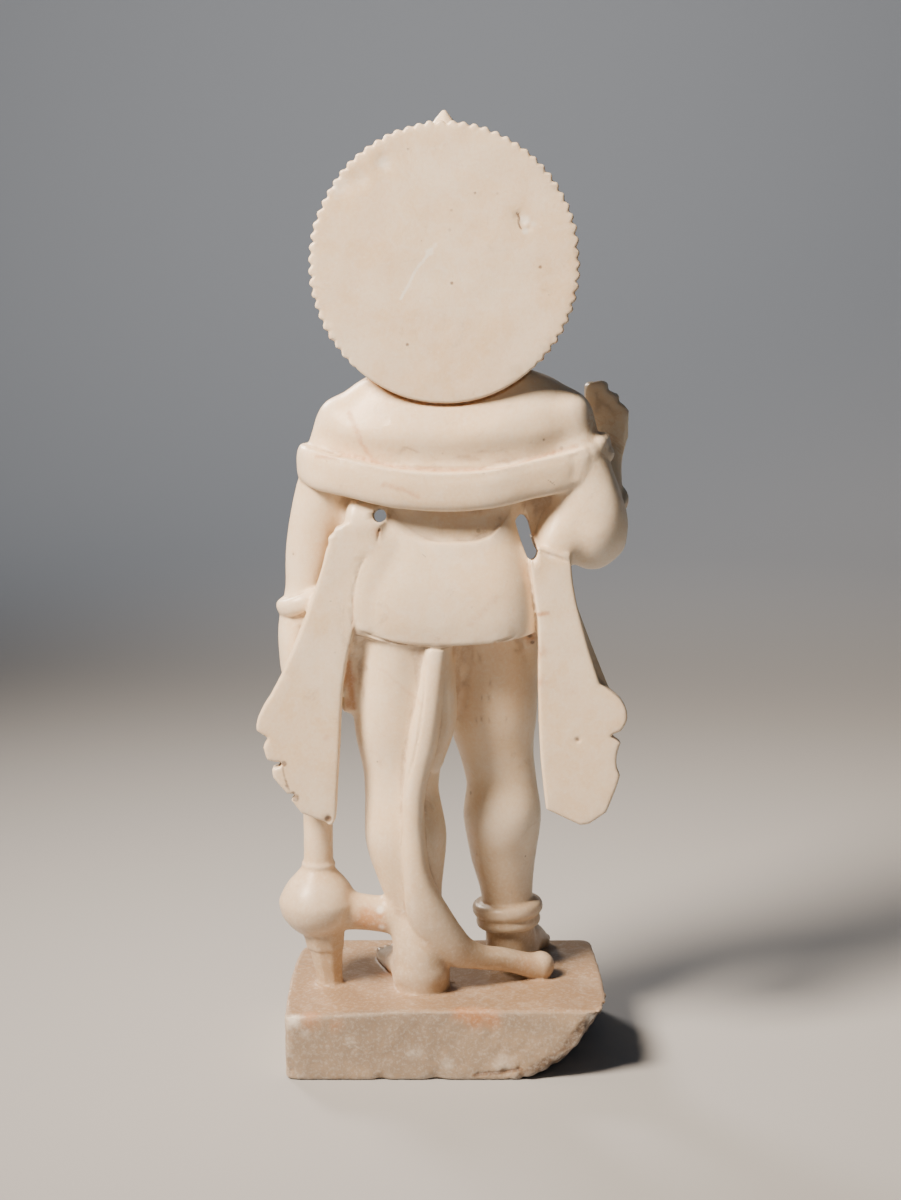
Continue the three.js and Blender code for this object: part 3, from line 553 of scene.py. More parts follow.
mace = dict(
    x=61.5, y=10, headWide=19, headZ=76.4, headHigh=17.4, shaft=7.2, top=214,
    ball=((0.3, -1.02), (0.64, -0.78), (0.9, -0.44), (1, -0.08), (0.97, 0.14), (0.78, 0.53), (0.46, 0.93), (0.38, 1.12)),
)


def makeMaceBody(s):
    x, y, z, r = s["x"], s["y"], s["headZ"], s["shaft"]
    ball = turned([(wide * s["headWide"], z + up * s["headHigh"]) for wide, up in s["ball"]], x=x + 0.4, y=y)
    stem = limb([
        (x, y, z + 10, r, r), (x, y, 120, r, r), (x + 1.5, y - 1, 160, 6.8, 6.8), (x + 3.5, y - 3, 195, 6.4, 6.4),
        (x + 4, y - 3, s["top"], 6.2, 6.2),
    ])
    strut = limb([
        (54, 11, 73, 12.4, 12), (46, 11.5, 72, 9.4, 9.5), (38, 12, 71.2, 8.1, 8.8), (29, 13, 70.6, 8.4, 9), (20, 14, 70, 9, 10),
    ], towards=(0, 0, 1))
    return [ball, stem, strut]


def makeMaceTrim(s):
    x, y, r = s["x"], s["y"], s["shaft"]
    knob = turned([
        (4, -8), (8.4, -4.5), (8.8, 0), (7.8, 3.2), (4.5, 5.6), (3.2, 6.4), (2.2, 8), (0.1, 8.6),
    ], flutes=12, swell=0.05)
    shank = limb([(56.2, y, 33, 6.4, 6.4), (57, y, 42, 7.2, 7.2), (58.2, y, 53.6, 8.8, 8.8)], level=True, facets=8, ends=(0, 0))
    collar = limb([
        (58.4, y, 53.2, 9.6, 9.6), (58.8, y, 57, 10.2, 10.2), (59.6, y, 64, 11.6, 11.6),
    ], level=True, facets=8, ends=(0.06, 0))
    return [
        shank, collar,
        bangle((x, y, 95.4), r - 0.8, r - 0.8, 1.9, 2.6),
        placed(knob, move=(x + 4.3, y - 3, s["top"] + 5)),
    ]


# Head

head = dict(
    y=-7, wide=26.5, locks=7,
    eye=(9.6, -27.9, 376.8), lidThick=0.95,
)


def makeSkull(s):
    y, wide = s["y"], s["wide"]
    parts = [
        limb([
            (0, y + 4, 340, 15, 18, 14), (0, y + 1, 349, 20.5, 22, 19), (0, y, 360, 25, 26, 22),
            (0, y, 372, wide, 27, 23), (0, y, 386, 26, 27, 23), (0, y, 400, 22, 24, 19),
        ], level=True, sides=96),
        lump((0, -29, 359.5), (15.5, 12, 10.3), sides=72),
        lump((0, -27.5, 350), (10.5, 9, 6.4), sides=48),
        limb([(0, -28.5, 382, 3.4, 3), (0, -31.5, 375.5, 3.6, 3.4), (0, -35.6, 369.6, 4.4, 4)]),
        lump((0, -37.4, 367.8), (5, 4, 3.7), sides=48),
    ]
    for side in (-1, 1):
        parts += [
            lump((side * 15.5, -20.6, 361), (9, 9.5, 10.5), sides=48),
            lump((side * 3.4, -37.2, 366.8), (2.6, 2.8, 2.4)),
            lump((side * 27, -6, 374), (3.4, 7, 9), (0, 0, side * -18), sides=48),
        ]
    return parts


def makeFace(s):
    parts = []
    ex, ey, ez = s["eye"]
    lid = s["lidThick"]
    for side in (-1, 1):
        parts += [
            lump((side * ex, ey, ez), (5.3, 3.5, 3.3), (0, 0, side * 14), sides=48),
            limb([
                (side * 3.6, -30.4, 375.6, 0.5, 0.5), (side * 5.6, -31.6, 379, lid, lid),
                (side * 9.6, -31.6, 380.9, lid, lid), (side * 13.4, -29.2, 379.6, lid, lid),
                (side * 16.2, -25.8, 376.6, 0.5, 0.5),
            ]),
            limb([
                (side * 3.8, -30.4, 375.4, 0.4, 0.4), (side * 6.4, -31.3, 373.5, 0.8, 0.8),
                (side * 10.2, -30.6, 372.8, 0.8, 0.8), (side * 13.6, -28.2, 374, 0.7, 0.7),
                (side * 16, -25.8, 376.4, 0.4, 0.4),
            ]),
            limb([
                (side * 1.4, -30.6, 382, 1.6, 1.4), (side * 6, -31.6, 385.4, 2, 1.7), (side * 11.4, -29.8, 386.6, 2, 1.6),
                (side * 17.6, -24.6, 383.4, 1.3, 1.2), (side * 20.6, -21, 379.6, 0.7, 0.7),
            ], towards=(0, 0, 1)),
        ]
        for i in range(s["locks"]):
            turn = radians(4 - 13.5 * i)
            root = np.array([side * 17 * np.cos(turn), -19 - 0.5 * i, 364 + 17 * np.sin(turn)])
            tip = np.array([side * 28 * np.cos(turn), -9 - 1.2 * i, 361 + 24.5 * np.sin(turn)])
            bend = (root + tip) / 2 + np.array([side * 1.4, -1.6, 1.6])
            parts.append(limb([(*root, 1.8, 1.4), (*bend, 2.4, 2), (*tip, 0.8, 0.8)], towards=(0, 0, 1)))
        parts += makeEarring(side)
    parts.append(lump((0, -30.6, 389), (1.6, 1.2, 3)))
    return parts


# A round ear stud: a flower of eight petals round a boss
def makeEarring(side):
    turn = 2 * pi * np.arange(8) / 8
    petals = np.stack([side * 27.2 + 0 * turn, -8 + 4.7 * np.cos(turn), 359.6 + 4.7 * np.sin(turn)], 1)
    parts = [
        lump((side * 26.4, -8, 359.6), (3.2, 7, 7)),
        beads(petals, 2.1, (1.3, 1, 1)),
        lump((side * 28.4, -8, 359.6), (2.2, 2.4, 2.4)),
    ]
    return [placed((p - (side * 26.4, -8, 359.6), f), (0, 0, side * -32), (side * 26.4, -8, 359.6)) for p, f in parts]


# Crown

crown = dict(y=-8, wide=27.5, foot=393, leaves=5, spread=36, lean=-9)


def makeCrown(s):
    y, wide, foot = s["y"], s["wide"], s["foot"]
    cap = turned([
        (wide - 1, foot), (wide + 0.2, foot + 1.2), (wide + 0.4, foot + 9.6), (wide - 1.4, foot + 11.4), (25.4, 408),
        (25.8, 412), (25, 417), (22.6, 422), (18.4, 426.6), (14.6, 428.6),
    ], y=y, flutes=16, swell=0.025)
    tiers = turned([(14.9, 427.6), (15.4, 429), (15, 431), (12.4, 433.6), (8, 436), (6.4, 437.4)], y=y)
    bud = turned([(5.6, 435), (6.4, 437), (8.8, 440.6), (9, 443.6), (7.6, 447.4), (4.4, 452), (1.4, 456)], y=y, flutes=8, swell=0.05)
    tip = lump((0, y, whole - 3.2), (2, 2, 3.2))
    turn = 2 * pi * np.arange(44) / 44
    rows = [
        beads(np.stack([r * np.cos(turn), y + r * np.sin(turn), 0 * turn + foot + up], 1), 1.75)
        for r, up in ((wide + 0.5, 1.6), (wide + 0.6, 9))
    ]
    gems = 2 * pi * np.arange(22) / 22
    ring = np.stack([(wide + 0.3) * np.cos(gems), y + (wide + 0.3) * np.sin(gems), 0 * gems + foot + 5.3], 1)
    shoulder = 2 * pi * np.arange(26) / 26
    bead = beads(np.stack([14.6 * np.cos(shoulder), y + 14.6 * np.sin(shoulder), 0 * shoulder + 428.8], 1), 1.7)
    parts = [cap, tiers, bud, tip, *rows, beads(ring, 2.1, (1, 1, 0.8)), bead]
    for i in range(s["leaves"]):
        turned_by = (i - s["leaves"] // 2) * s["spread"]
        size = 1.12 if turned_by == 0 else 0.92
        for points, faces in makeLeaf():
            points = points * (size, 1, size)
            points, faces = placed((points, faces), (s["lean"], 0, 0), (0, -wide + 2, 0))
            parts.append(placed((points, faces), (0, 0, turned_by), (0, y, foot + 8)))
    return parts


# A crown leaf: a pointed plate with a raised edge, a rib and an oval stone low in its middle
def makeLeaf():
    edge = [(-8, 0), (-8.4, 6), (-5.6, 14.4), (-2.2, 20), (0, 24)]
    shape = outline([(-8, 0), (-9, 11, 0, 24), (9, 11, 8, 0)])
    rim = [
        limb([(side * -x * 0.93, -4, z * 0.95, 1.15, 1.1) for x, z in edge]) for side in (-1, 1)
    ]
    veins = [
        limb([(0, -4, 5 + 3.4 * i, 0.9, 0.7), (side * 3, -4.1, 9 + 3.3 * i, 0.7, 0.6), (side * (5.2 - 0.9 * i), -4, 10 + 3.4 * i, 0.5, 0.5)])
        for side in (-1, 1) for i in range(3)
    ]
    rib = limb([(0, -4, 8, 1.1, 1), (0, -4.2, 15, 1, 0.9), (0, -4, 22, 0.6, 0.6)])
    stone = lump((0, -4, 5), (2.8, 1.9, 3.4))
    return [plate(shape, -4, 0, 0.8), *rim, *veins, rib, stone]


# Halo

halo = dict(
    x=-0.4, z=385.9, wide=61.5, tall=63.7, back=30, thick=11, teeth=75, tooth=2.7, bare=50, petals=26, rimDepth=2.2,
)


def haloRound(turn, share=1):
    s = halo
    return np.stack([s["x"] + share * s["wide"] * np.cos(turn), s["z"] + share * s["tall"] * np.sin(turn)], -1)


# The disc's outline: an oval with a rounded tooth in each share of the turn, (1 - p ** 2) ** 0.7 high where p runs from -1 to
# 1 over the tooth, so that narrow notches are left between teeth. They are uneven, lean a little and end at the foot.
def makeHalo(s):
    count = s["teeth"] * 16
    turn = 2 * pi * np.arange(count) / count
    wobble = unevenness(np.stack([9 * np.cos(turn), 9 * np.sin(turn), 0 * turn], 1), 1.6, 5)
    p = 2 * ((s["teeth"] * turn / (2 * pi) + 0.12 * wobble) % 1) - 1
    p = p + 0.14 * (1 - p**2)
    fromFoot = np.degrees(np.abs((turn + pi / 2 + pi) % (2 * pi) - pi))
    show = eased(fromFoot, s["bare"] - 12, s["bare"])
    height = s["tooth"] * (1 + 0.2 * wobble) * np.clip(1 - p**2, 0, 1) ** 0.7 - 0.66 * s["tooth"]
    grow = 1 + show * height / s["wide"]
    shape = haloRound(turn) * grow[:, None] + (1 - grow[:, None]) * (s["x"], s["z"])
    return plate(shape, s["back"] - s["thick"], s["back"], 0.7)


# The front of the halo is carved by its polar place: a fluted rim, a beaded ring and a wreath of pointed petals
def haloCarving(points, normals):
    s = halo
    face = s["back"] - s["thick"]
    u, v = (points[:, 0] - s["x"]) / s["wide"], (points[:, 2] - s["z"]) / s["tall"]
    out, turn = np.hypot(u, v), np.arctan2(v, u)
    front = eased(-normals[:, 1], 0.5, 0.9) * (np.abs(points[:, 1] - face) < 1.2) * (out > 0.42)
    flute = np.abs(np.sin(s["teeth"] * turn / 2))
    rim = eased(out, 0.845, 0.862) * (1 - eased(out, 0.955, 0.985)) * (0.55 + 0.45 * flute)
    ringTurn = 96 * turn / (2 * pi) % 1 - 0.5
    bead = np.clip(1 - (ringTurn / 0.42) ** 2 - ((out - 0.822) / 0.017) ** 2, 0, 1) ** 0.5
    petalTurn = np.abs(s["petals"] * turn / (2 * pi) % 1 - 0.5)
    up = np.clip((out - 0.5) / 0.3, 0, 1)
    reach = 0.47 * np.clip(1 - up**2.4, 0, 1) ** 0.5
    inside = reach - petalTurn
    petal = eased(inside, 0, 0.07) * (0.75 + 0.5 * eased(0.2 - petalTurn, 0, 0.2))
    groove = 0.5 * eased(0.03 - petalTurn, 0, 0.03)
    lift = s["rimDepth"] * rim + 1.1 * bead + 1.9 * petal - groove
    return np.stack([0 * lift, -lift * front, 0 * lift], 1)


# Scarf: the thick folded band, its lip and its falls, and the two pleated ends

scarf = dict(
    thick=4.6, half=9.2, square=2.9, knuckles=[(-72, 16.5, 301.6, 5), (-75.6, 12, 297, 4.8), (-75, 14, 290, 4.4)],
    line=[
        (48, -17, 285), (60, -12, 288.5), (65.2, 0, 291.6), (64.4, 12, 292), (57.5, 22, 290), (43, 28.5, 287.4),
        (26, 31.8, 283.6), (9, 33, 281.8), (-8, 33, 281.6), (-24, 32, 283.2), (-41, 28.6, 286.8), (-56, 25.5, 289.8),
        (-67.6, 21.6, 293.2), (-74, 12.5, 296.4), (-75, -1.5, 297), (-70, -13, 293), (-58, -17, 287),
    ],
    leftEnd=[
        (36, 262), (37, 267.6), (40.6, 267.8), (42, 266.8), (46.8, 266), (48, 264.8), (51, 263.6), (52, 261),
        (54.4, 259), (54, 256.2), (55.4, 253.4), (57.5, 243, 62.8, 228.7), (70, 206, 82.8, 182.8),
        (90.5, 172, 89.1, 166.3), (83.7, 162.8), (86.2, 158.5), (84.5, 152.2), (76.8, 150.2), (82.1, 147.6),
        (81.6, 143.5), (75, 135.6), (69.6, 135.4), (73.2, 132.6), (68.3, 126), (58.7, 122.4), (55.3, 120),
        (51.6, 119.5, 51.4, 128), (49.6, 160, 48.2, 185), (46, 203, 43, 212), (41, 232, 36, 250),
    ],
    rightEnd=[
        (-39, 256), (-43, 232, -44.5, 215), (-44.6, 172, -46.4, 150), (-48.9, 127.8), (-65.3, 120.1), (-69.5, 120.6),
        (-77.7, 126.3), (-81.5, 135, -84.2, 144.6), (-80.5, 151, -84, 160.3), (-79.4, 163.9), (-83.8, 166),
        (-90.5, 173, -84, 181.6), (-80, 185.5, -74, 189.1), (-66.5, 211.5, -62.5, 228.7), (-60.5, 238, -59.3, 252),
    ],
    back=30, endThick=10,
)


def makeScarf(s):
    thick, half = s["thick"], s["half"]
    rows = [(x, y, z, thick, half, half) for x, y, z in s["line"]]
    band = limb(rows, towards=(0, 0, 1), square=s["square"], ends=(0.4, 0.4), sides=72)
    lip = limb([
        (x * 1.004, y + 2.6, z + half - 1.2, 1.2, 1.3) for x, y, z in s["line"][3:14]
    ])
    parts = [band, lip]
    for x, y, z, size in s["knuckles"]:
        parts.append(lump((x, y, z), (size, size * 1.3, size), (0, 0, -30)))
    for x, side in ((58, 1), (-68, -1)):
        for offset in (-5, 0, 5):
            parts.append(limb([
                (x - side * 1 + offset, -15.5, 289, 4, 4.6), (x - side * 9 + offset, -16.5, 276, 4.2, 5),
                (x - side * 14 + offset, -10.5, 262, 4, 5.2), (x - side * 16 + offset, 5, 250, 4, 5.6),
                (x - side * 17 + offset, 16, 240, 4, 5.6),
            ]))
    return parts


# A scarf end: a plate plain behind, with pleats that fan down its front
def makeScarfEnd(steps, top, feet, radius):
    face = scarf["back"] - scarf["endThick"]
    parts = [plate(outline(steps), face, scarf["back"], radius)]
    tx, tz = top
    for x, z in feet:
        parts.append(limb([
            (tx + (x - tx) * 0.08, face, tz, 1.6, 2.2), (tx + (x - tx) * 0.5, face - 0.3, (tz + z) / 2, 2.6, 2.8),
            (x, face, z, 3.2, 3.2),
        ]))
    return parts


# Tail, bangles, necklaces, girdle and the folds in front

tail = [
    (3.8, 24.6, 216, 5.4, 6.4), (4.2, 26.4, 203, 5.6, 6.4), (6.6, 28, 182, 6, 6.6), (10.2, 28.8, 160, 6.8, 7),
    (14, 28.5, 138, 5.4, 7), (14.8, 28.5, 118, 5.4, 7), (13.2, 29, 96, 6.6, 7.4), (8, 27, 76, 10, 8),
    (-3, 22.5, 58, 9.6, 7.5), (-16, 16, 50, 6.2, 6.5), (-30, 9.5, 46, 5.6, 6), (-42, 5.4, 41.8, 6, 6),
    (-48, 3.6, 41, 7, 6.8),
]

trim = dict(
    anklet=((-31.8, -15.3, 65.4), 13, 12.6, 4.8, 8, (0, 4, 0)), ankletFoot=((-32.2, -15.6, 58.8), 12.8, 12.4, 3.4, 6.6, (0, 4, 0)),
    leftBracelet=((67.6, 6, 226), 10, 10.4, 3.6, 8.5, (0, 22, 0)),
    rightBracelet=((-77.2, -14, 272), 9.6, 9.6, 3, 7, (-35, 0, 0)),
)


def makeNecklaces(tree):
    parts = []
    for reach, low, radius in ((19, 317, 2.5), (27, 291, 2.7)):
        s = np.linspace(-1, 1, 25)
        rows = np.stack([s * reach, 0 * s, low + (334 - low) * np.abs(s) ** 1.7], 1)
        rows = np.array([seated(tree, row, (0, -1, 0), 0.5 * radius) for row in rows])
        places = spaced(rows, radius * 1.85)
        parts += [beads(places, radius), limb([(*r, radius * 0.6, radius * 0.6) for r in rows])]
    x, y, z = seated(tree, (0, 0, 282.5), (0, -1, 0))
    turn = 2 * pi * np.arange(8) / 8
    petals = np.stack([4.6 * np.cos(turn), y - 1.4 + 0 * turn, z + 5.6 * np.sin(turn)], 1)
    return [*parts, lump((0, y, z), (5.4, 3, 6.6)), beads(petals, 1.9), lump((0, y - 2.8, z), (2.3, 1.9, 2.9))]


# The girdle: a belt round the front with two rows of beads and a clasp
def makeGirdle(tree):
    turn = np.linspace(-pi * 0.95, -pi * 0.05, 25)
    arc = np.array([
        seated(tree, (-2.2, 0, 250.6 + 1.6 * np.sin(a)), (np.cos(a), np.sin(a), 0), 0.2) for a in turn
    ])
    away = unit(np.stack([np.cos(turn), np.sin(turn), 0 * turn], 1))
    parts = [limb([(*p, 2.4, 4, 4) for p in arc], towards=(0, 0, 1), square=2.8)]
    for lift in (-3.2, 3.2):
        parts.append(beads(spaced(arc + 1.9 * away + (0, 0, lift), 2.9), 1.55))
    gems = spaced(arc + 2.3 * away, 6.4)
    parts.append(beads(gems, 1.7, (1.2, 1.2, 1)))
    x, y, z = seated(tree, (-2, 0, 249), (0, -1, 0), 1.6)
    return [*parts, lump((x, y, z), (5.8, 3, 5.8)), lump((x, y - 2.4, z), (2.8, 2, 2.8))]


def makeFrontFolds(tree):
    parts = []
    for i in range(-2, 3):
        parts.append(limb([
            (i * 3.4 - 1, -25, 250, 2.4, 3.2), (i * 4.4 - 1, -28, 226, 2.9, 3.7), (i * 5.8 - 1, -27, 196, 3.8, 4),
            (i * 7.4 - 1, -24.8 + abs(i) * 0.6, 159 + 2.6 * abs(i), 4.4, 3.8),
        ], ends=(0.8, 0.3)))
    for side in (-1, 1):
        for i in range(6):
            run = np.linspace(0, 1, 7)
            places = np.stack([side * (8 + 33 * run), 0 * run, 240 - 5.2 * i - (9 - i) * np.sin(pi * run) + 3 * run], 1)
            rows = [seated(tree, row, (side * 0.5 * r, -1, 0), 0.3) for row, r in zip(places, run)]
            parts.append(limb([(*row, 1.5, 1.7) for row in rows], towards=(0, 0, 1)))
    return parts


# Hands

hands = dict(
    tips=[(-71.6, 329.2), (-77, 329.4), (-82.6, 323.6), (-87.6, 316.6)], depth=-26.8,
    back=[
        (-72, 296), (-68.6, 304, -68.6, 322), (-69, 328.4, -72.6, 328), (-75, 328.6, -77, 328.8), (-79.4, 327.6, -79.8, 323.6),
        (-83.2, 324.2, -85, 318.4), (-89.6, 316.8, -90.2, 312), (-89, 303, -87.4, 294), (-84, 290, -78, 290),
    ],
)


def finger(places, root, tip):
    radii = np.linspace(root, tip, len(places))
    return limb([(*p, r, r) for p, r in zip(places, radii)], sides=32)


def makeBlessingHand(s):
    y = s["depth"]
    parts = []
    for i, (x, z) in enumerate(s["tips"]):
        root = -71.8 - 5.1 * i
        radius = 3.5 - 0.12 * i
        places = [(root, y, 304 - i), ((root + x) / 2, y - 1, (306 - i + z) / 2), (x, y, z - radius)]
        parts.append(finger(places, radius, radius - 0.3))
    parts.append(finger([(-72.4, y, 295), (-67.6, y - 2, 302), (-66, y - 2, 308.5)], 3.7, 2.8))
    parts.append(plate(outline(s["back"]), y - 0.6, y + 4.4, 1.8))
    return parts


def makePalm():
    return limb([(-79, -25, 291, 8.4, 5), (-79, -26, 300, 10.6, 5), (-79.6, -26.8, 312, 11, 4.2)])


def makeGrip():
    back = limb([
        (70.4, 4.8, 221, 8.4, 9), (71.6, 5, 210, 8.5, 10.5), (71.2, 5.4, 201, 8.6, 10.5), (70.4, 6, 192, 8.4, 9.5),
    ])
    fingers = []
    for i in range(4):
        z = 211 - 6 * i
        fingers.append(finger([(76, 0, z + 1), (71, -6.4, z), (62, -7.4, z - 0.5), (56, -1, z - 1)], 3.4, 3))
    return [back], fingers


# Joining: soft masses first, then the crisp carving over them

joining = dict(massCell=1.0, cell=0.7, fill=26, calm=40, lateFill=5, triangles=198000)


# Where the masses are smoothed most: the shoulders and back, and the elbow where it runs into the scarf's end
def calmPlaces(points):
    x, y, z = points.T
    back = eased(z, 284, 292) * (1 - eased(z, 338, 346)) * eased(y, -6, 4)
    elbow = eased(z, 240, 246) * (1 - eased(z, 296, 300)) * (1 - eased(x, -50, -42)) * eased(y, 4, 12)
    return np.maximum(back, elbow)


def makeMasses():
    gripBack, _ = makeGrip()
    shapes = [
        limb(limbs["body"], square=2.6, level=True, ends=(0.1, 0.8), sides=120),
        limb(garment["rows"], square=garment["square"], level=True, ends=(0, 0), sides=140),
        *[limb(limbs[k], sides=72) for k in ("leftLeg", "rightLeg", "leftArm", "rightForearm")],
        limb(limbs["rightArm"], square=2.8, sides=72),
        *[limb(rows, square=square) for square, rows in limbs["webs"]],
        *[limb(rows, towards=(0, 0, 1)) for rows in limbs["crossWebs"]],
        *[lump(place, half, (0, 0, turn), sides=64) for place, half, turn in limbs["lumps"]],
        *[makeFoot(*f) for f in feet],
        *makeMaceBody(mace), *makeSkull(head), makePalm(), *gripBack,
    ]
    masses = fused("masses", shapes, joining["massCell"])
    fillHollows(masses.data, joining["fill"])
    relax(masses.data, joining["calm"], 0.5, calmPlaces)
    points, quads = pointsOf(masses.data), quadsOf(masses.data)
    tree = treeOf(masses)
    dropped(masses)
    return (points, [quads]), tree


def makeCarving(tree):
    _, gripFingers = makeGrip()
    return [
        makePlinth(plinth), makeHalo(halo), *makeScarf(scarf),
        *makeScarfEnd(scarf["leftEnd"], (50, 252), [(56, 128), (62, 130), (68.5, 136), (75, 146), (80, 158), (84, 170)], 1.4),
        *makeScarfEnd(scarf["rightEnd"], (-52, 246), [(-53, 132), (-60, 128), (-67, 126), (-74, 133), (-79, 148), (-82, 170)], 1.3),
        limb(tail, ends=(0, 1), square=2.3), *makeMaceTrim(mace), *[bangle(*trim[k]) for k in trim],
        *makeNecklaces(tree), *makeGirdle(tree), *makeFrontFolds(tree), *makeBlessingHand(hands), *gripFingers,
        *makeFace(head), *makeCrown(crown), *[t for f in feet for t in makeToes(*f)],
    ]


# The drilled hole at the left armpit and the slot at the right, both sloping down towards the front
holes = dict(
    slope=0.145, face=10,
    drill=(30.3, 267, 3.2),
    slot=[
        (-33.6, 264.5), (-36.5, 271, -39.8, 265), (-42, 257, -44.6, 250), (-42.8, 243.4, -39.2, 247.4),
        (-35.5, 256, -33.6, 264.5),
    ],
)


# Turns a closed shape's faces outward, told by the sign of the volume they enclose
def outward(shape):
    points, faces = shape
    volume = 0
    for block in faces:
        corners = points[block]
        for k in range(1, block.shape[1] - 1):
            volume += np.sum(corners[:, 0] * np.cross(corners[:, k], corners[:, k + 1]))
    return points, [block[:, ::-1] for block in faces] if volume < 0 else faces


def cutHoles(statue, s):
    x, z, radius = s["drill"]
    turn = 2 * pi * np.arange(40) / 40
    circle = np.stack([x + radius * np.cos(turn), z + radius * np.sin(turn)], 1)
    for shape in (circle, outline(s["slot"])):
        points, faces = plate(shape, -40, 50, 0.01)
        points[:, 2] += s["slope"] * (points[:, 1] - s["face"])
        cutter = objectOf("cutter", [outward((points, faces))])
        applied(statue, "BOOLEAN", operation="DIFFERENCE", solver="MANIFOLD", object=cutter)
        dropped(cutter)


# Relief: each line is its places, half width and depth, cut in where the depth is above 0 and raised where below

hemLine = [
    (41.6, 29.4, 212.7), (32, 31.4, 210.6), (20, 32.4, 209.1), (8, 32.8, 208.3), (-4, 33, 208.1), (-16, 32.6, 208.7), (-28, 31, 210.2),
    (-36, 29.4, 211.6),
]
footArc = [(x, 28, z) for x, z in haloRound(np.radians(np.linspace(-152, -28, 15)), 1.012)]
grooves = [
    ([(-16, -26, 358.6), (-11, -35.6, 355.2), (-5, -39.4, 354), (0, -40.4, 353.7), (5, -39.4, 354), (11, -35.6, 355.2), (16, -26, 358.6)], 0.9, 1.5),
    ([(-12, -35, 353), (-5, -39, 351.4), (0, -39.8, 351), (5, -39, 351.4), (12, -35, 353)], 1.3, -0.7),
    ([(0, -41.4, 364.4), (0, -41.6, 361), (0, -41.2, 357.4)], 0.9, 0.7),
    ([(29.9, 28, 264), (30.6, 29, 260.4), (31.4, 29.6, 257.4)], 0.4, 0.5),
    ([(43, 29.6, 214), (42.8, 29.8, 224), (42.4, 30, 233), (39.6, 30, 244.6), (35.4, 29.6, 252.7)], 0.5, 0.45),
    (footArc, 0.8, 1.1),
    ([(x, y - 0.6, z - 0.4) for x, y, z in hemLine], 0.6, 0.8),
    ([(-14, 52, 3), (-20, 52, 3.8), (-28, 52, 4.4), (-37, 52, 6)], 0.7, 0.9),
    ([(-44.3, 26, 253.6), (-49, 29, 251.6), (-55, 29, 249.4), (-60, 27, 247.6)], 0.7, 0.7),
    ([(9, 30.6, 206), (9.6, 34.6, 184), (13, 35.6, 160), (19, 34, 138)], 0.7, 0.5),
    ([(-60.4, 27, 299), (-61.2, 29, 292), (-60.2, 27, 286)], 2.2, 0.45),
    ([(-67, 23, 303), (-69, 20.5, 298.6), (-68.4, 20, 294)], 1, 0.3),
    ([(-71, 19, 304.4), (-73.4, 15.6, 300.4)], 1, 0.25),
]
dents = [  # place, radius, depth
    ((-2.1, -41.2, 366.2), 1.2, 1.4), ((2.1, -41.2, 366.2), 1.2, 1.4),
    ((30.4, -8.6, 374.4), 4, 2.2), ((-30.4, -8.6, 374.4), 4, 2.2),
    ((-2, -24.6, 264), 2.2, 2), ((-34.4, 30, 407.6), 2.4, 0.7), ((-36.6, 30, 405), 1.8, 0.6), ((-39, 30, 402.4), 1.6, 0.4),
    ((46, 30, 422), 5, 0.8), ((38, 30, 424.5), 4, 0.5), ((27, 30, 431.5), 4, 0.6), ((55.2, 28.6, 123), 2, 2), ((78.4, 28, 150.6), 1.5, 1.2), ((-81.4, 28, 164.8), 1.5, 1),
    ((74, 52, 4), 3.2, 1.8), ((74.6, 52, 9), 2, 1), ((72, 52, 31.5), 2.6, 0.9), ((30, 52, 0.4), 3, 1.3), ((4, 52, 0.6), 4, 1.3),
    ((-30, 52, 4.4), 2.2, 0.7), ((-36, 52, 6), 1.2, 0.8),
    ((-63.7, 30, 162.3), 1.2, 0.8), ((71.9, 14, 249), 1, 0.5),
]


# Places above the plinth and behind the figure, moved along y onto the stone
def onStone(tree, places):
    return np.array([
        seated(tree, place, (0, 1, 0)) if place[1] > 8 and place[2] > 37 else place for place in places
    ])


def treeOf(obj):
    return BVHTree.FromObject(obj, bpy.context.evaluated_depsgraph_get())


def carve(statue):
    mesh, tree = statue.data, treeOf(statue)
    points, normals = pointsOf(mesh), pointsOf(mesh, "normal")
    moved = points + haloCarving(points, normals)
    for places, width, depth in grooves:
        line = np.array(places, float)
        line = onStone(tree, smoothLine(line, 4 * len(line)) if len(line) > 2 else line)
        reach = 3 * width + 1.5
        near = np.flatnonzero(np.all((points > line.min(0) - reach) & (points < line.max(0) + reach), axis=1))
        gap, along = toLine(points[near], line)
        cut = depth * np.exp(-((gap / width) ** 2)) * eased(np.minimum(along, 1 - along), 0, 0.12)
        moved[near] -= cut[:, None] * normals[near]
    for place, radius, depth in dents:
        gap = np.linalg.norm(points - place, axis=1)
        near = np.flatnonzero(gap < 2.5 * radius)
        moved[near] -= (depth * np.exp(-((gap[near] / radius) ** 2)))[:, None] * normals[near]
    moved += (backRelief(points) + toolMarks(points) + chips(points))[:, None] * normals
    moved[:, 2] += hemRise(points)
    moved[:, 2] = np.maximum(moved[:, 2], 0)
    setPoints(mesh, moved)


# The broad forms behind: a niche at the waist whose foot rises by the fourth power of x, the ridge off the right
# shoulder and the hollow above the scarf
def backRelief(points):
    x, y, z = points.T
    behind = eased(y, 12, 18)
    foot = 256.2 + 11 * ((x + 2) / 27) ** 4
    niche = eased(z - foot, 0, 1.4 + 4 * eased(x, 2, 20)) * (1 - eased(np.abs(x + 3), 18, 33))
    niche *= behind * (z < 290) * (y < 30.5)
    lift = -1.9 * niche
    shoulder = z > 294
    ridge = np.exp(-(((z - 303 - 0.26 * (12 - x)) / 7.5) ** 2)) * eased(12 - x, 0, 40)
    hollow = np.exp(-(((z - 298 - 0.0022 * x**2) / 5) ** 2))
    lift += behind * shoulder * (1.1 * ridge - 0.9 * hollow) * (y < 38)
    return lift


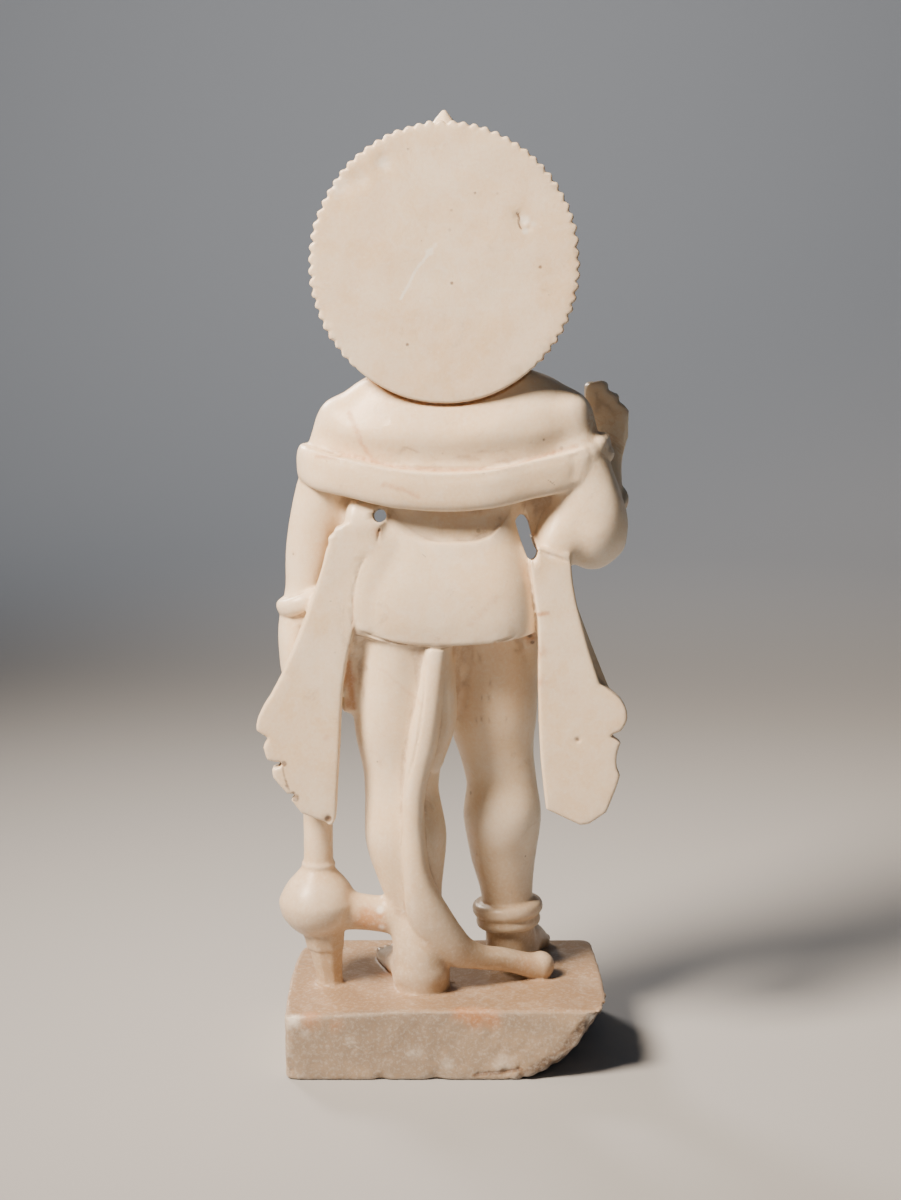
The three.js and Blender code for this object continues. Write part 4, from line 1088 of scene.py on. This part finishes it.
# The hem's curve: its ends stand higher than its middle by the square of x
def hemRise(points):
    x, y, z = points.T
    near = eased(z, 202, 207) * (1 - eased(z, 212, 230)) * eased(y, 8, 14) * (1 - eased(np.abs(x + 0.8), 42.6, 45))
    return near * (4.6 * ((x + 0.8) / 42) ** 2 - 1)


# Slight waviness left by the chisel and the polish, coarser on the plinth
def toolMarks(points):
    low = 1 - eased(points[:, 2], 33, 36)
    wave = 0.16 * unevenness(points, 11, 61) + 0.06 * unevenness(points, 4, 62)
    rough = 0.22 * unevenness(points, 5, 63) + 0.14 * unevenness(points, 2.2, 64)
    return wave * (1 - 0.6 * low) + low * rough


# How near the plinth's broken faces a place lies, from 0 to 1
def nearBreak(points):
    near = np.zeros(len(points))
    for places, _ in plinth["breaks"]:
        a, b, c = np.array(places, float)
        gap = np.abs((points - a) @ unit(np.cross(b - a, c - a)))
        near = np.maximum(near, (1 - eased(gap, 2.8, 4.6)) * (points[:, 2] < 34) * (points[:, 0] < -30))
    return near


# Sharp-edged chips on the broken faces: the larger of two folded noises, so that flats meet in ridges
def chips(points):
    coarse = np.abs(unevenness(points, 7.5, 71)) + 0.5 * np.abs(unevenness(points, 4, 72))
    fine = np.abs(unevenness(points, 2.2, 73)) + 0.5 * unevenness(points, 1.4, 74)
    return nearBreak(points) * (1.1 * np.maximum(coarse, 0.55 * fine) - 0.8)


def makeStatue():
    masses, tree = makeMasses()
    report("masses")
    statue = fused("statue", [masses, *makeCarving(tree)], joining["cell"])
    report(f"joined, {len(statue.data.polygons)} faces")
    cutHoles(statue, holes)
    report(f"holes cut, {len(statue.data.polygons)} faces")
    fillHollows(statue.data, joining["lateFill"], 0.6)
    relax(statue.data, 1, 0.5)
    carve(statue)
    marks = settledMarks(treeOf(statue))
    report("carved")
    triangles = trianglesOf(statue.data)
    free = statue.vertex_groups.new(name="free")
    spared = markedPlaces(pointsOf(statue.data), marks)
    free.add(np.flatnonzero(~spared).tolist(), 1, "REPLACE")
    ratio = min(1, joining["triangles"] / triangles)
    applied(
        statue, "DECIMATE", decimate_type="COLLAPSE", ratio=ratio, vertex_group="free", use_collapse_triangulate=True,
    )
    statue.vertex_groups.clear()
    keepLargestShell(statue.data)
    setPoints(statue.data, np.maximum(pointsOf(statue.data), (-np.inf, -np.inf, 0)))
    report(f"thinned from {triangles} to {trianglesOf(statue.data)} triangles")
    return statue, marks


# Keeps only the largest shell, so that no bubble stays shut in where forms meet. A shell's points are those that
# share the lowest number their edges lead to.
def keepLargestShell(mesh):
    a, b = edgesOf(mesh, np.inf)
    shell = np.arange(len(mesh.vertices))
    before = None
    while not np.array_equal(shell, before):
        before = shell.copy()
        lowest = np.minimum(shell[a], shell[b])
        np.minimum.at(shell, a, lowest)
        np.minimum.at(shell, b, lowest)
        shell = shell[shell]
    loose = np.flatnonzero(shell != np.bincount(shell).argmax())
    report(f"{len(loose)} loose points removed")
    made = bmesh.new()
    made.from_mesh(mesh)
    made.verts.ensure_lookup_table()
    bmesh.ops.delete(made, geom=[made.verts[i] for i in loose], context="VERTS")
    made.to_mesh(mesh)
    made.free()


# How many triangles a mesh comes to: a face of n corners makes n - 2
def trianglesOf(mesh):
    sizes = np.empty(len(mesh.polygons), np.int32)
    mesh.polygons.foreach_get("loop_total", sizes)
    return int((sizes - 2).sum())


# Stone


# Wraps a socket so that sums written in Python add Math nodes
class Value:
    def __init__(self, maker, socket):
        self.maker = maker
        self.socket = socket

    def calc(self, operation, *others, clamp=False):
        return self.maker.node("ShaderNodeMath", dict(operation=operation, use_clamp=clamp), [self, *others])

    def __add__(self, other):
        return self.calc("ADD", other)

    def __mul__(self, other):
        return self.calc("MULTIPLY", other)

    def __sub__(self, other):
        return self.calc("SUBTRACT", other)

    def __rsub__(self, other):
        return self.maker.node("ShaderNodeMath", dict(operation="SUBTRACT"), [other, self])

    def __truediv__(self, other):
        return self.calc("DIVIDE", other)

    def __pow__(self, other):
        return self.calc("POWER", other)

    __radd__ = __add__
    __rmul__ = __mul__


class Maker:
    def __init__(self, name):
        self.material = bpy.data.materials.new(name)
        self.material.use_nodes = True
        self.tree = self.material.node_tree
        self.shader = self.tree.nodes["Principled BSDF"]

    # Adds a node of a kind: settings first, then the values or links of its sockets, by place or by name
    def node(self, kind, settings=None, inputs=(), output=0):
        node = self.tree.nodes.new(kind)
        for key, value in (settings or {}).items():
            if key == "stops":
                self.setStops(node.color_ramp, value)
            else:
                setattr(node, key, value)
        pairs = inputs.items() if isinstance(inputs, dict) else enumerate(inputs)
        for key, value in pairs:
            self.put(node.inputs[key], value)
        return Value(self, node.outputs[output])

    def setStops(self, ramp, stops):
        for i, (place, colour) in enumerate(stops):
            stop = ramp.elements[i] if i < 2 else ramp.elements.new(place)
            stop.position = place
            stop.color = (*colour, 1) if len(colour) == 3 else colour

    def put(self, socket, value):
        if isinstance(value, Value):
            self.tree.links.new(value.socket, socket)
        elif value is not None:
            socket.default_value = (*value, 1) if socket.type == "RGBA" and len(value) == 3 else value

    def blend(self, share, first, second):
        settings = dict(data_type="RGBA")
        return self.node("ShaderNodeMix", settings, {0: share, 6: first, 7: second}, 2)

    def noise(self, place, scale, detail=3, roughness=0.5, distortion=0):
        inputs = dict(Vector=place, Scale=scale, Detail=detail, Roughness=roughness, Distortion=distortion)
        return self.node("ShaderNodeTexNoise", {}, inputs)

    # 0 below low, 1 above high
    def ramp(self, value, low, high):
        settings = dict(clamp=True, interpolation_type="SMOOTHSTEP")
        return self.node("ShaderNodeMapRange", settings, {0: value, 1: low, 2: high})

    def attribute(self, name):
        return self.node("ShaderNodeAttribute", dict(attribute_name=name), output=2)


# Where the stone is stained or bruised, and where dark is painted as shade in the scarf ends' notches: place, radius,
# strength
stainsAndShadeSpots = dict(
    orange=[
        ((38, 15, 70), 7, 1), ((31.4, 15, 67), 4, 1), ((31, 15, 72), 3, 0.9), ((64, 51, 31), 7, 0.7), ((51.5, 51, 28), 5, 0.5),
        ((-8.6, 51, 34), 6, 0.8), ((-15.2, 51, 32), 7, 0.9), ((-22.4, 51, 31), 6, 0.8), ((46, 24, 190), 5, 0.9),
        ((45, 24, 178), 4, 0.8), ((-45, 22, 206), 4, 0.8), ((-45, 20, 190), 4, 0.7), ((-15, 22, 44), 7, 0.5),
        ((-40, 12, 45), 8, 0.4), ((42, 30, 233), 4, 0.3), ((8, 30, 60), 6, 0.3), ((62, 20, 90), 8, 0.3), ((6.5, 30, 444), 3, 0.5),
        ((-59.3, 30, 372), 3, 0.5), ((56, 30, 163), 3, 0.5), ((-41, 28, 208), 4, 0.8), ((-61.6, 30, 186), 3, 0.4),
        ((31, 28, 262), 3, 0.6), ((30, 29, 150), 3, 0.4), ((71.9, 14, 249), 3, 0.4), ((28.6, 0, 36), 6, 0.6),
    ],
    dark=[
        ((-41.1, 28, 209.1), 1.6, 0.9), ((-42.5, 28, 205.6), 1.4, 0.8), ((16.8, 30, 349.4), 1, 0.9), ((-3.7, 30, 377.4), 1, 0.8),
        ((-14.3, 30, 418.1), 0.9, 0.8), ((-3.5, 30, 410.3), 0.8, 0.7), ((-44.2, 30, 384.7), 1, 0.8), ((16.2, 30, 437.7), 0.8, 0.7),
        ((-48.2, 30, 372.2), 0.7, 0.7), ((10.2, 30, 396.6), 0.7, 0.6), ((-46.5, 33, 305.2), 0.9, 0.8), ((0.6, 33, 299.2), 0.7, 0.6),
        ((-16.3, 52, 3.5), 1.6, 0.9), ((-21, 52, 3.8), 1.8, 0.9), ((-28.2, 52, 4.6), 2, 0.9), ((-35.8, 52, 5.6), 1.6, 0.9),
        # From the spot at (-80.8, 30, 164.6) to the one at (71, 25, 134): dark painted as shade inside the notches and
        # curl of the scarf ends
        ((73.2, 52, 3.1), 2.2, 0.8), ((30.2, 27, 263), 1, 0.9), ((-80.8, 30, 164.6), 1.4, 0.9), ((80, 30, 151.2), 1.4, 0.9),
        ((76.3, 30, 150.6), 1.6, 1), ((75, 30, 139.7), 1.2, 0.8), ((72, 30, 136.4), 1.2, 0.8), ((55.4, 29, 123.4), 2, 1),
        ((80, 25, 150.4), 2.6, 1), ((78, 27, 150.4), 1.8, 1), ((85, 25, 163), 2, 0.8), ((-82, 25, 165), 2.4, 0.9), ((71, 25, 134), 2.2, 0.9),
        ((-63.7, 30, 162.3), 0.9, 0.8), ((71.9, 14, 249), 0.9, 0.7), ((32, 29, 150), 0.8, 0.7), ((-40, 0, 96), 0.8, 0.7),
        ((9.3, 28, 36.4), 4, 0.3), ((64, 24, 39.4), 2, 0.5), ((-6.1, 48, 35), 1, 0.6), ((-50.6, 48, 35), 1.2, 0.6),
        ((53.2, 30, 229.3), 0.7, 0.6), ((41.3, 30, 239.5), 0.6, 0.5), ((-16, 34, 240), 0.5, 0.5), ((-29.7, 33, 239), 0.6, 0.5),
    ],
    pale=[
        ((6.6, 30, 391.6), 2, 1), ((4, 30, 394.6), 1.3, 0.9), ((-37, 30, 406), 2.8, 1), ((-37.4, 30, 401), 2, 0.9), ((-41, 30, 404), 2, 0.6), ((47, 30, 421), 6, 0.7), ((38, 30, 424.5), 5, 0.6),
        ((27, 30, 431.5), 5, 0.7), ((50, 30, 388), 3, 0.4), ((72, 52, 31), 6, 0.8), ((66, 52, 24), 4, 0.5), ((45, 52, 20), 5, 0.4),
        ((14, 52, 14), 6, 0.5), ((-2, 52, 8), 6, 0.5), ((-28, 52, 9), 8, 0.5), ((-63, 45, 20), 7, 0.6), ((-69, 48, 31), 4, 0.8),
        ((9, 32, 54), 5, 0.25), ((31, 16, 75), 2.4, 0.9), ((30.6, 16, 66), 2.4, 0.8), ((49, 30, 264), 3, 0.7),
        ((34, 29, 255), 2, 0.6), ((-50, 29, 251), 4, 0.5), ((60, 30, 30), 3, 0.3),
    ],
)
marksAndShadowLines = [  # pale or brown lines on the surface
    # The dark line on footArc and the dark line along the hem's first five places are painted shadow, under the halo's
    # foot and under the hem's edge.
    (footArc, 0.5, "orange", 1), (footArc, 0, "dark", 0.45), (hemLine[:5], -0.1, "dark", 0.55), (hemLine, 0.1, "orange", 0.4),
    ([(19.9, 30, 370.1), (16, 30, 377), (12.6, 30, 383.6), (9.3, 30, 387.6), (5.4, 30, 393)], 0, "pale", 1),
    ([(-33.4, 30, 409), (-34.4, 30, 407), (-34.2, 30, 404.4), (-35.2, 30, 402)], -0.3, "dark", 1),
    ([(-48.8, 35, 286.6), (-51.6, 34, 284.4)], -0.4, "dark", 0.7),
    ([(10, 33, 251.6), (8.4, 33, 250.2)], -0.4, "dark", 0.6),
    ([(-12, 33, 219), (-17.9, 33, 224.7), (-24, 33, 231.7)], 2.6, "orange", 0.35),
    ([(44.3, 24, 317.1), (40.7, 28, 309.9), (38, 31, 302.7), (33, 33, 296)], 1.2, "orange", 0.55),
    ([(60, 20, 297), (42, 29, 297), (24, 33, 293), (8, 35, 291.6), (-8, 35, 291.4), (-26, 34, 292.6), (-44, 31, 297), (-62, 25, 302)], 0.8, "orange", 0.6),
    ([(28, 36, 285), (20, 37, 283.4), (12, 38, 279.8)], 1, "orange", 0.5),
    ([(-13.3, 52, 23.7), (-28.1, 52, 19.8), (-43.2, 52, 12.1), (-54.4, 52, 6.1)], 1.2, "dark", 0.34),
    ([(45.6, 26, 198), (44.6, 24, 186), (43.6, 22, 176)], 1.2, "orange", 0.9), ([(43, 30, 214), (42.6, 30, 230)], 0.2, "orange", 0.5),
    ([(-14, 51, 2.6), (-20, 51, 3.4), (-28, 51, 4), (-37, 51, 5.6)], 0.2, "dark", 1),
    ([(77, 30, 149), (76, 30, 144), (74, 30, 138)], 0.1, "dark", 0.6),
    ([(-44.4, 30, 222.8), (-49, 30, 223.7)], 0.5, "orange", 0.8),
    ([(72, 52, 31.7), (68, 52, 25.7), (64, 52, 21.7)], 0.2, "pale", 0.5),
    ([(47.7, 52, 21.7), (42.5, 52, 17.7), (36.8, 52, 14.1)], 0, "pale", 0.5),
    ([(14.3, 52, 14.1), (4.3, 52, 9.6), (-6.2, 52, 6.1)], 0, "pale", 0.45),
    ([(30.9, 29, 196.4), (26.5, 30, 194.1), (18.5, 30, 186.4), (10, 30, 179.6)], 0.8, "orange", 0.35),
]


# The stained spots, scratched lines and painted shadow marks, with their places set on the stone
def settledMarks(tree):
    spots = {
        name: [(place, *rest) for place, (_, *rest) in zip(onStone(tree, [row[0] for row in rows]), rows)]
        for name, rows in stainsAndShadeSpots.items()
    }
    lines = [
        (onStone(tree, smoothLine(np.array(places, float), 6 * len(places))), *rest) for places, *rest in marksAndShadowLines
    ]
    return spots, lines


# Whether a place lies on one of the small marks, where the mesh is kept fine enough to show them
def markedPlaces(points, marks):
    marked = np.zeros(len(points), bool)
    for spots in marks[0].values():
        for place, radius, _ in spots:
            if radius <= 2.4:
                marked |= np.sum((points - place) ** 2, axis=1) < (radius + 1.4) ** 2
    for line, width, *_ in marks[1]:
        near = np.flatnonzero(np.all((points > line.min(0) - 4) & (points < line.max(0) + 4), axis=1))
        marked[near] |= toLine(points[near], line)[0] < width + 1.4
    return marked


# Writes attributes for each place of the stone: how deep it lies, which browns hollows as dirt and painted shade, how
# worn its edge is, and its stained spots, lines and painted shade marks
def weatherAndShade(mesh, marks):
    edges = edgesOf(mesh)
    points, normals = pointsOf(mesh), pointsOf(mesh, "normal")
    smooth = points.copy()
    depths = []
    for rounds in (4, 14):
        for _ in range(rounds):
            smooth = around(smooth, edges)
        depths.append(((smooth - points) * normals).sum(1))
    depth = depths[0] / 0.3 + depths[1] / 6
    for _ in range(1):
        depth = 0.5 * depth + 0.5 * around(depth, edges)
    layers = dict(recess=np.clip(depth, 0, 1), wear=np.clip(-depth - 0.2, 0, 1))
    for name in stainsAndShadeSpots:
        layers[name] = np.zeros(len(points))
    for name, spots in marks[0].items():
        for place, radius, strength in spots:
            gap = np.linalg.norm(points - place, axis=1)
            layers[name] = np.maximum(layers[name], strength * np.exp(-((gap / radius) ** 2)))
    for line, width, name, strength in marks[1]:
        gap, _ = toLine(points, line)
        layers[name] = np.maximum(layers[name], strength * np.exp(-((gap / (width + 0.8)) ** 2)))
    x, y, z = points.T
    up = eased(normals[:, 2], 0.35, 0.8) * (1 - eased(z, 36, 42))
    layers["tan"] = np.clip(0.75 * up + 0.4 * (1 - eased(z, 38, 120)) + 0.2 * (1 - eased(z, 120, 210)), 0, 1)
    layers["broken"] = nearBreak(points)
    for name, values in layers.items():
        mesh.attributes.new(name, "FLOAT", "POINT").data.foreach_set("value", values.astype(np.float32))


marble = dict(
    ivory=(0.82, 0.645, 0.45), milk=(0.87, 0.74, 0.57), honey=(0.72, 0.49, 0.28), rust=(0.50, 0.20, 0.06),
    # On the next line, the first dark brown paints shadow and shade along with dark marks, and the near-black brown
    # paints the broken faces' shade.
    grimeAndShade=(0.14, 0.08, 0.05), tan=(0.32, 0.21, 0.126), ash=(0.265, 0.205, 0.155), shadedRubble=(0.13, 0.09, 0.065), chalk=(0.92, 0.88, 0.81),
    # On the next line, the first and the last browns darken hollows and creases: dirt held there, and painted shade.
    umberAndShade=(0.27, 0.17, 0.11), siltAndShade=(0.52, 0.37, 0.25), roughness=0.4, subsurface=0.1, spread=0.0015,
)


def makeMarble(s):
    m = Maker("marble")
    place = m.node("ShaderNodeTexCoord", output=3)
    z = m.node("ShaderNodeSeparateXYZ", {}, [place], 2)
    y = m.node("ShaderNodeSeparateXYZ", {}, [place], 1)
    cloud = m.noise(place, 15, 5, 0.6, 0.5)
    blush = m.noise(place, 26, 6, 0.66, 0.9)
    grain = m.noise(place, 1500, 2, 0.6)
    crystal = m.noise(place, 560, 3, 0.7)
    streak = m.noise(place, 42, 5, 0.7, 2.2)
    mottle = m.noise(place, 150, 5, 0.72)
    fleck = m.node("ShaderNodeTexVoronoi", {}, dict(Vector=place, Scale=260, Randomness=1))
    speckCell = m.node("ShaderNodeTexVoronoi", {}, dict(Vector=place, Scale=85, Randomness=1))
    vein = (m.noise(place, 9, 6, 0.62, 1.6) - 0.5).calc("ABSOLUTE")
    veinShow = (1 - m.ramp(vein, 0.0, 0.016)) * m.ramp(m.noise(place, 7, 2), 0.5, 0.66)
    recess, wear = m.attribute("recess"), m.attribute("wear")
    orange, dark, pale = (m.attribute(k) for k in ("orange", "dark", "pale"))
    tan, shadedRubble = m.attribute("tan"), m.attribute("broken")
    broken = m.noise(place, 260, 4, 0.7)
    colour = m.blend(m.ramp(cloud, 0.36, 0.64), s["ivory"], s["milk"])
    colour = m.blend(m.ramp(blush, 0.5, 0.8) * 0.2, colour, s["honey"])
    colour = m.blend(veinShow * 0.6, colour, s["honey"])
    colour = m.blend(m.ramp(streak, 0.6, 0.72) * 0.22, colour, s["tan"])
    colour = m.blend(m.ramp(tan * (0.8 + mottle * 0.4), 0.05, 1), colour, s["tan"])
    plinthShow = (1 - m.ramp(z, 0.0335, 0.0355)) * m.ramp(y, 0.046, 0.05)
    colour = m.blend(plinthShow * (0.45 + m.ramp(cloud, 0.4, 0.62) * 0.4), colour, s["ash"])
    # Painted shade: the broken faces are darkened to a near-black brown.
    colour = m.blend(shadedRubble * (0.75 + broken * 0.5), colour, s["shadedRubble"])
    # Hollows and creases turn brown by their depth: dirt held there, and painted shade.
    colour = m.blend(m.ramp(recess, 0.2, 0.9) * 0.3, colour, s["siltAndShade"])
    colour = m.blend(m.ramp(recess * (0.5 + mottle), 0.6, 1.2) * 0.4, colour, s["umberAndShade"])
    rust = m.ramp(orange * (0.4 + broken * 1.3), 0.12, 0.95)
    colour = m.blend(rust * 0.68, colour, s["rust"])
    bruise = m.ramp(pale * (0.3 + broken * 1.4), 0.2, 0.9)
    colour = m.blend(bruise * 0.85, colour, s["chalk"])
    colour = m.blend(m.ramp(wear, 0.4, 1.1) * (0.2 - tan * 0.12), colour, s["chalk"])
    speck = (1 - m.ramp(speckCell, 0.05, 0.12)) * m.ramp(m.noise(place, 60, 1), 0.6, 0.68)
    # Dark spots and lines, with dark specks: real dirt and marks, and also painted shadow under the halo and hem and
    # painted shade in the scarf notches.
    grimeAndShade = m.ramp(dark * (0.55 + broken), 0.25, 0.75) + speck * 0.55
    colour = m.blend(m.node("ShaderNodeClamp", {}, [grimeAndShade]) * 0.8, colour, s["grimeAndShade"])
    sugar = m.ramp(crystal, 0.42, 0.72)
    colour = m.blend(sugar * 0.2, colour, s["chalk"])
    colour = m.blend((1 - m.ramp(crystal, 0.3, 0.5)) * 0.14, colour, s["honey"])
    dash = m.ramp(m.noise(place, 240, 4, 0.8), 0.6, 0.7)
    colour = m.blend(((1 - m.ramp(fleck, 0.06, 0.2)) * 0.22 + dash * 0.2) * (1 - tan * 0.6 - plinthShow * 0.35), colour, s["chalk"])
    rough = s["roughness"] + (grain - 0.5) * 0.14 + rust * 0.18 + plinthShow * 0.18 + bruise * 0.2 + shadedRubble * 0.2
    rough = rough + recess * 0.12 - wear * 0.06
    height = grain * 0.3 + crystal * 0.6 + mottle * 0.9 + (plinthShow + shadedRubble) * broken * 1.4
    bump = m.node("ShaderNodeBump", {}, dict(Strength=0.2, Distance=0.0006, Height=height))
    for name, value in {
        "Base Color": colour, "Roughness": rough, "Normal": bump, "Subsurface Weight": s["subsurface"],
        "Subsurface Scale": s["spread"], "Subsurface Radius": (1.0, 0.72, 0.48), "IOR": 1.5,
    }.items():
        m.put(m.shader.inputs[name], value)
    return m.material


statue, marks = makeStatue()
statue.data.shade_smooth()
weatherAndShade(statue.data, marks)
statue.data.materials.clear()
statue.data.materials.append(makeMarble(marble))
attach(statue, "root")
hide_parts("hanuman_statue")
report("stone")


# Floor: a plain pale dish that is flat under the figure and turns up far away, and soft lights

stage = dict(flat=1.6, rise=1.3, high=1.4, colour=(0.42, 0.44, 0.475))


def makeFloor(s):
    a = np.linspace(0, pi / 2, 24)
    radius = np.concatenate([[0.001], np.linspace(0.2, s["flat"], 8), s["flat"] + s["rise"] * np.sin(a[1:])])
    height = np.concatenate([np.zeros(9), s["high"] * (1 - np.cos(a[1:]))])
    turn = 2 * pi * np.arange(96) / 96
    rings = metre * np.stack([
        radius[:, None] * np.cos(turn), radius[:, None] * np.sin(turn), np.broadcast_to(height[:, None], (len(radius), 96)),
    ], -1)
    floor = objectOf("floor", [skin(rings)])
    floor.data.shade_smooth()
    m = Maker("floor")
    tone = m.noise(m.node("ShaderNodeTexCoord", output=3), 3, 2)
    m.put(m.shader.inputs["Base Color"], m.blend(tone * 0.3, s["colour"], tuple(0.96 * c for c in s["colour"])))
    m.put(m.shader.inputs["Roughness"], 0.8)
    floor.data.materials.append(m.material)


lights = [  # name, place, aims at, size, watts, colour, spread in degrees
    ("key", (0.92, 0.72, 1.36), (0, 0, 0.36), 0.6, 12.4, (1, 0.8, 0.6), 60),
    ("front", (0.9, -1.4, 1.1), (0, 0, 0.26), 0.5, 2.2, (1, 0.88, 0.76), 50),
    ("wall", (0, -1, 1.5), (0, -3, 0.5), 1.2, 14, (1, 0.96, 0.92), 140),
]


def makeLights():
    for name, place, aim, size, power, colour, spread in lights:
        data = bpy.data.lights.new(name, "AREA")
        data.shape = "DISK"
        data.size = size
        data.energy = power
        data.color = colour
        data.spread = radians(spread)
        light = bpy.data.objects.new(name, data)
        light.location = place
        light.rotation_euler = (Vector(aim) - Vector(place)).to_track_quat("-Z", "Y").to_euler()
        bpy.context.scene.collection.objects.link(light)
    world = bpy.data.worlds.new("studio")
    world.use_nodes = True
    world.node_tree.nodes["Background"].inputs[0].default_value = (0.74, 0.87, 1, 1)
    world.node_tree.nodes["Background"].inputs[1].default_value = 0.06
    bpy.context.scene.world = world


makeFloor(stage)
makeLights()
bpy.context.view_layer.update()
report("done")
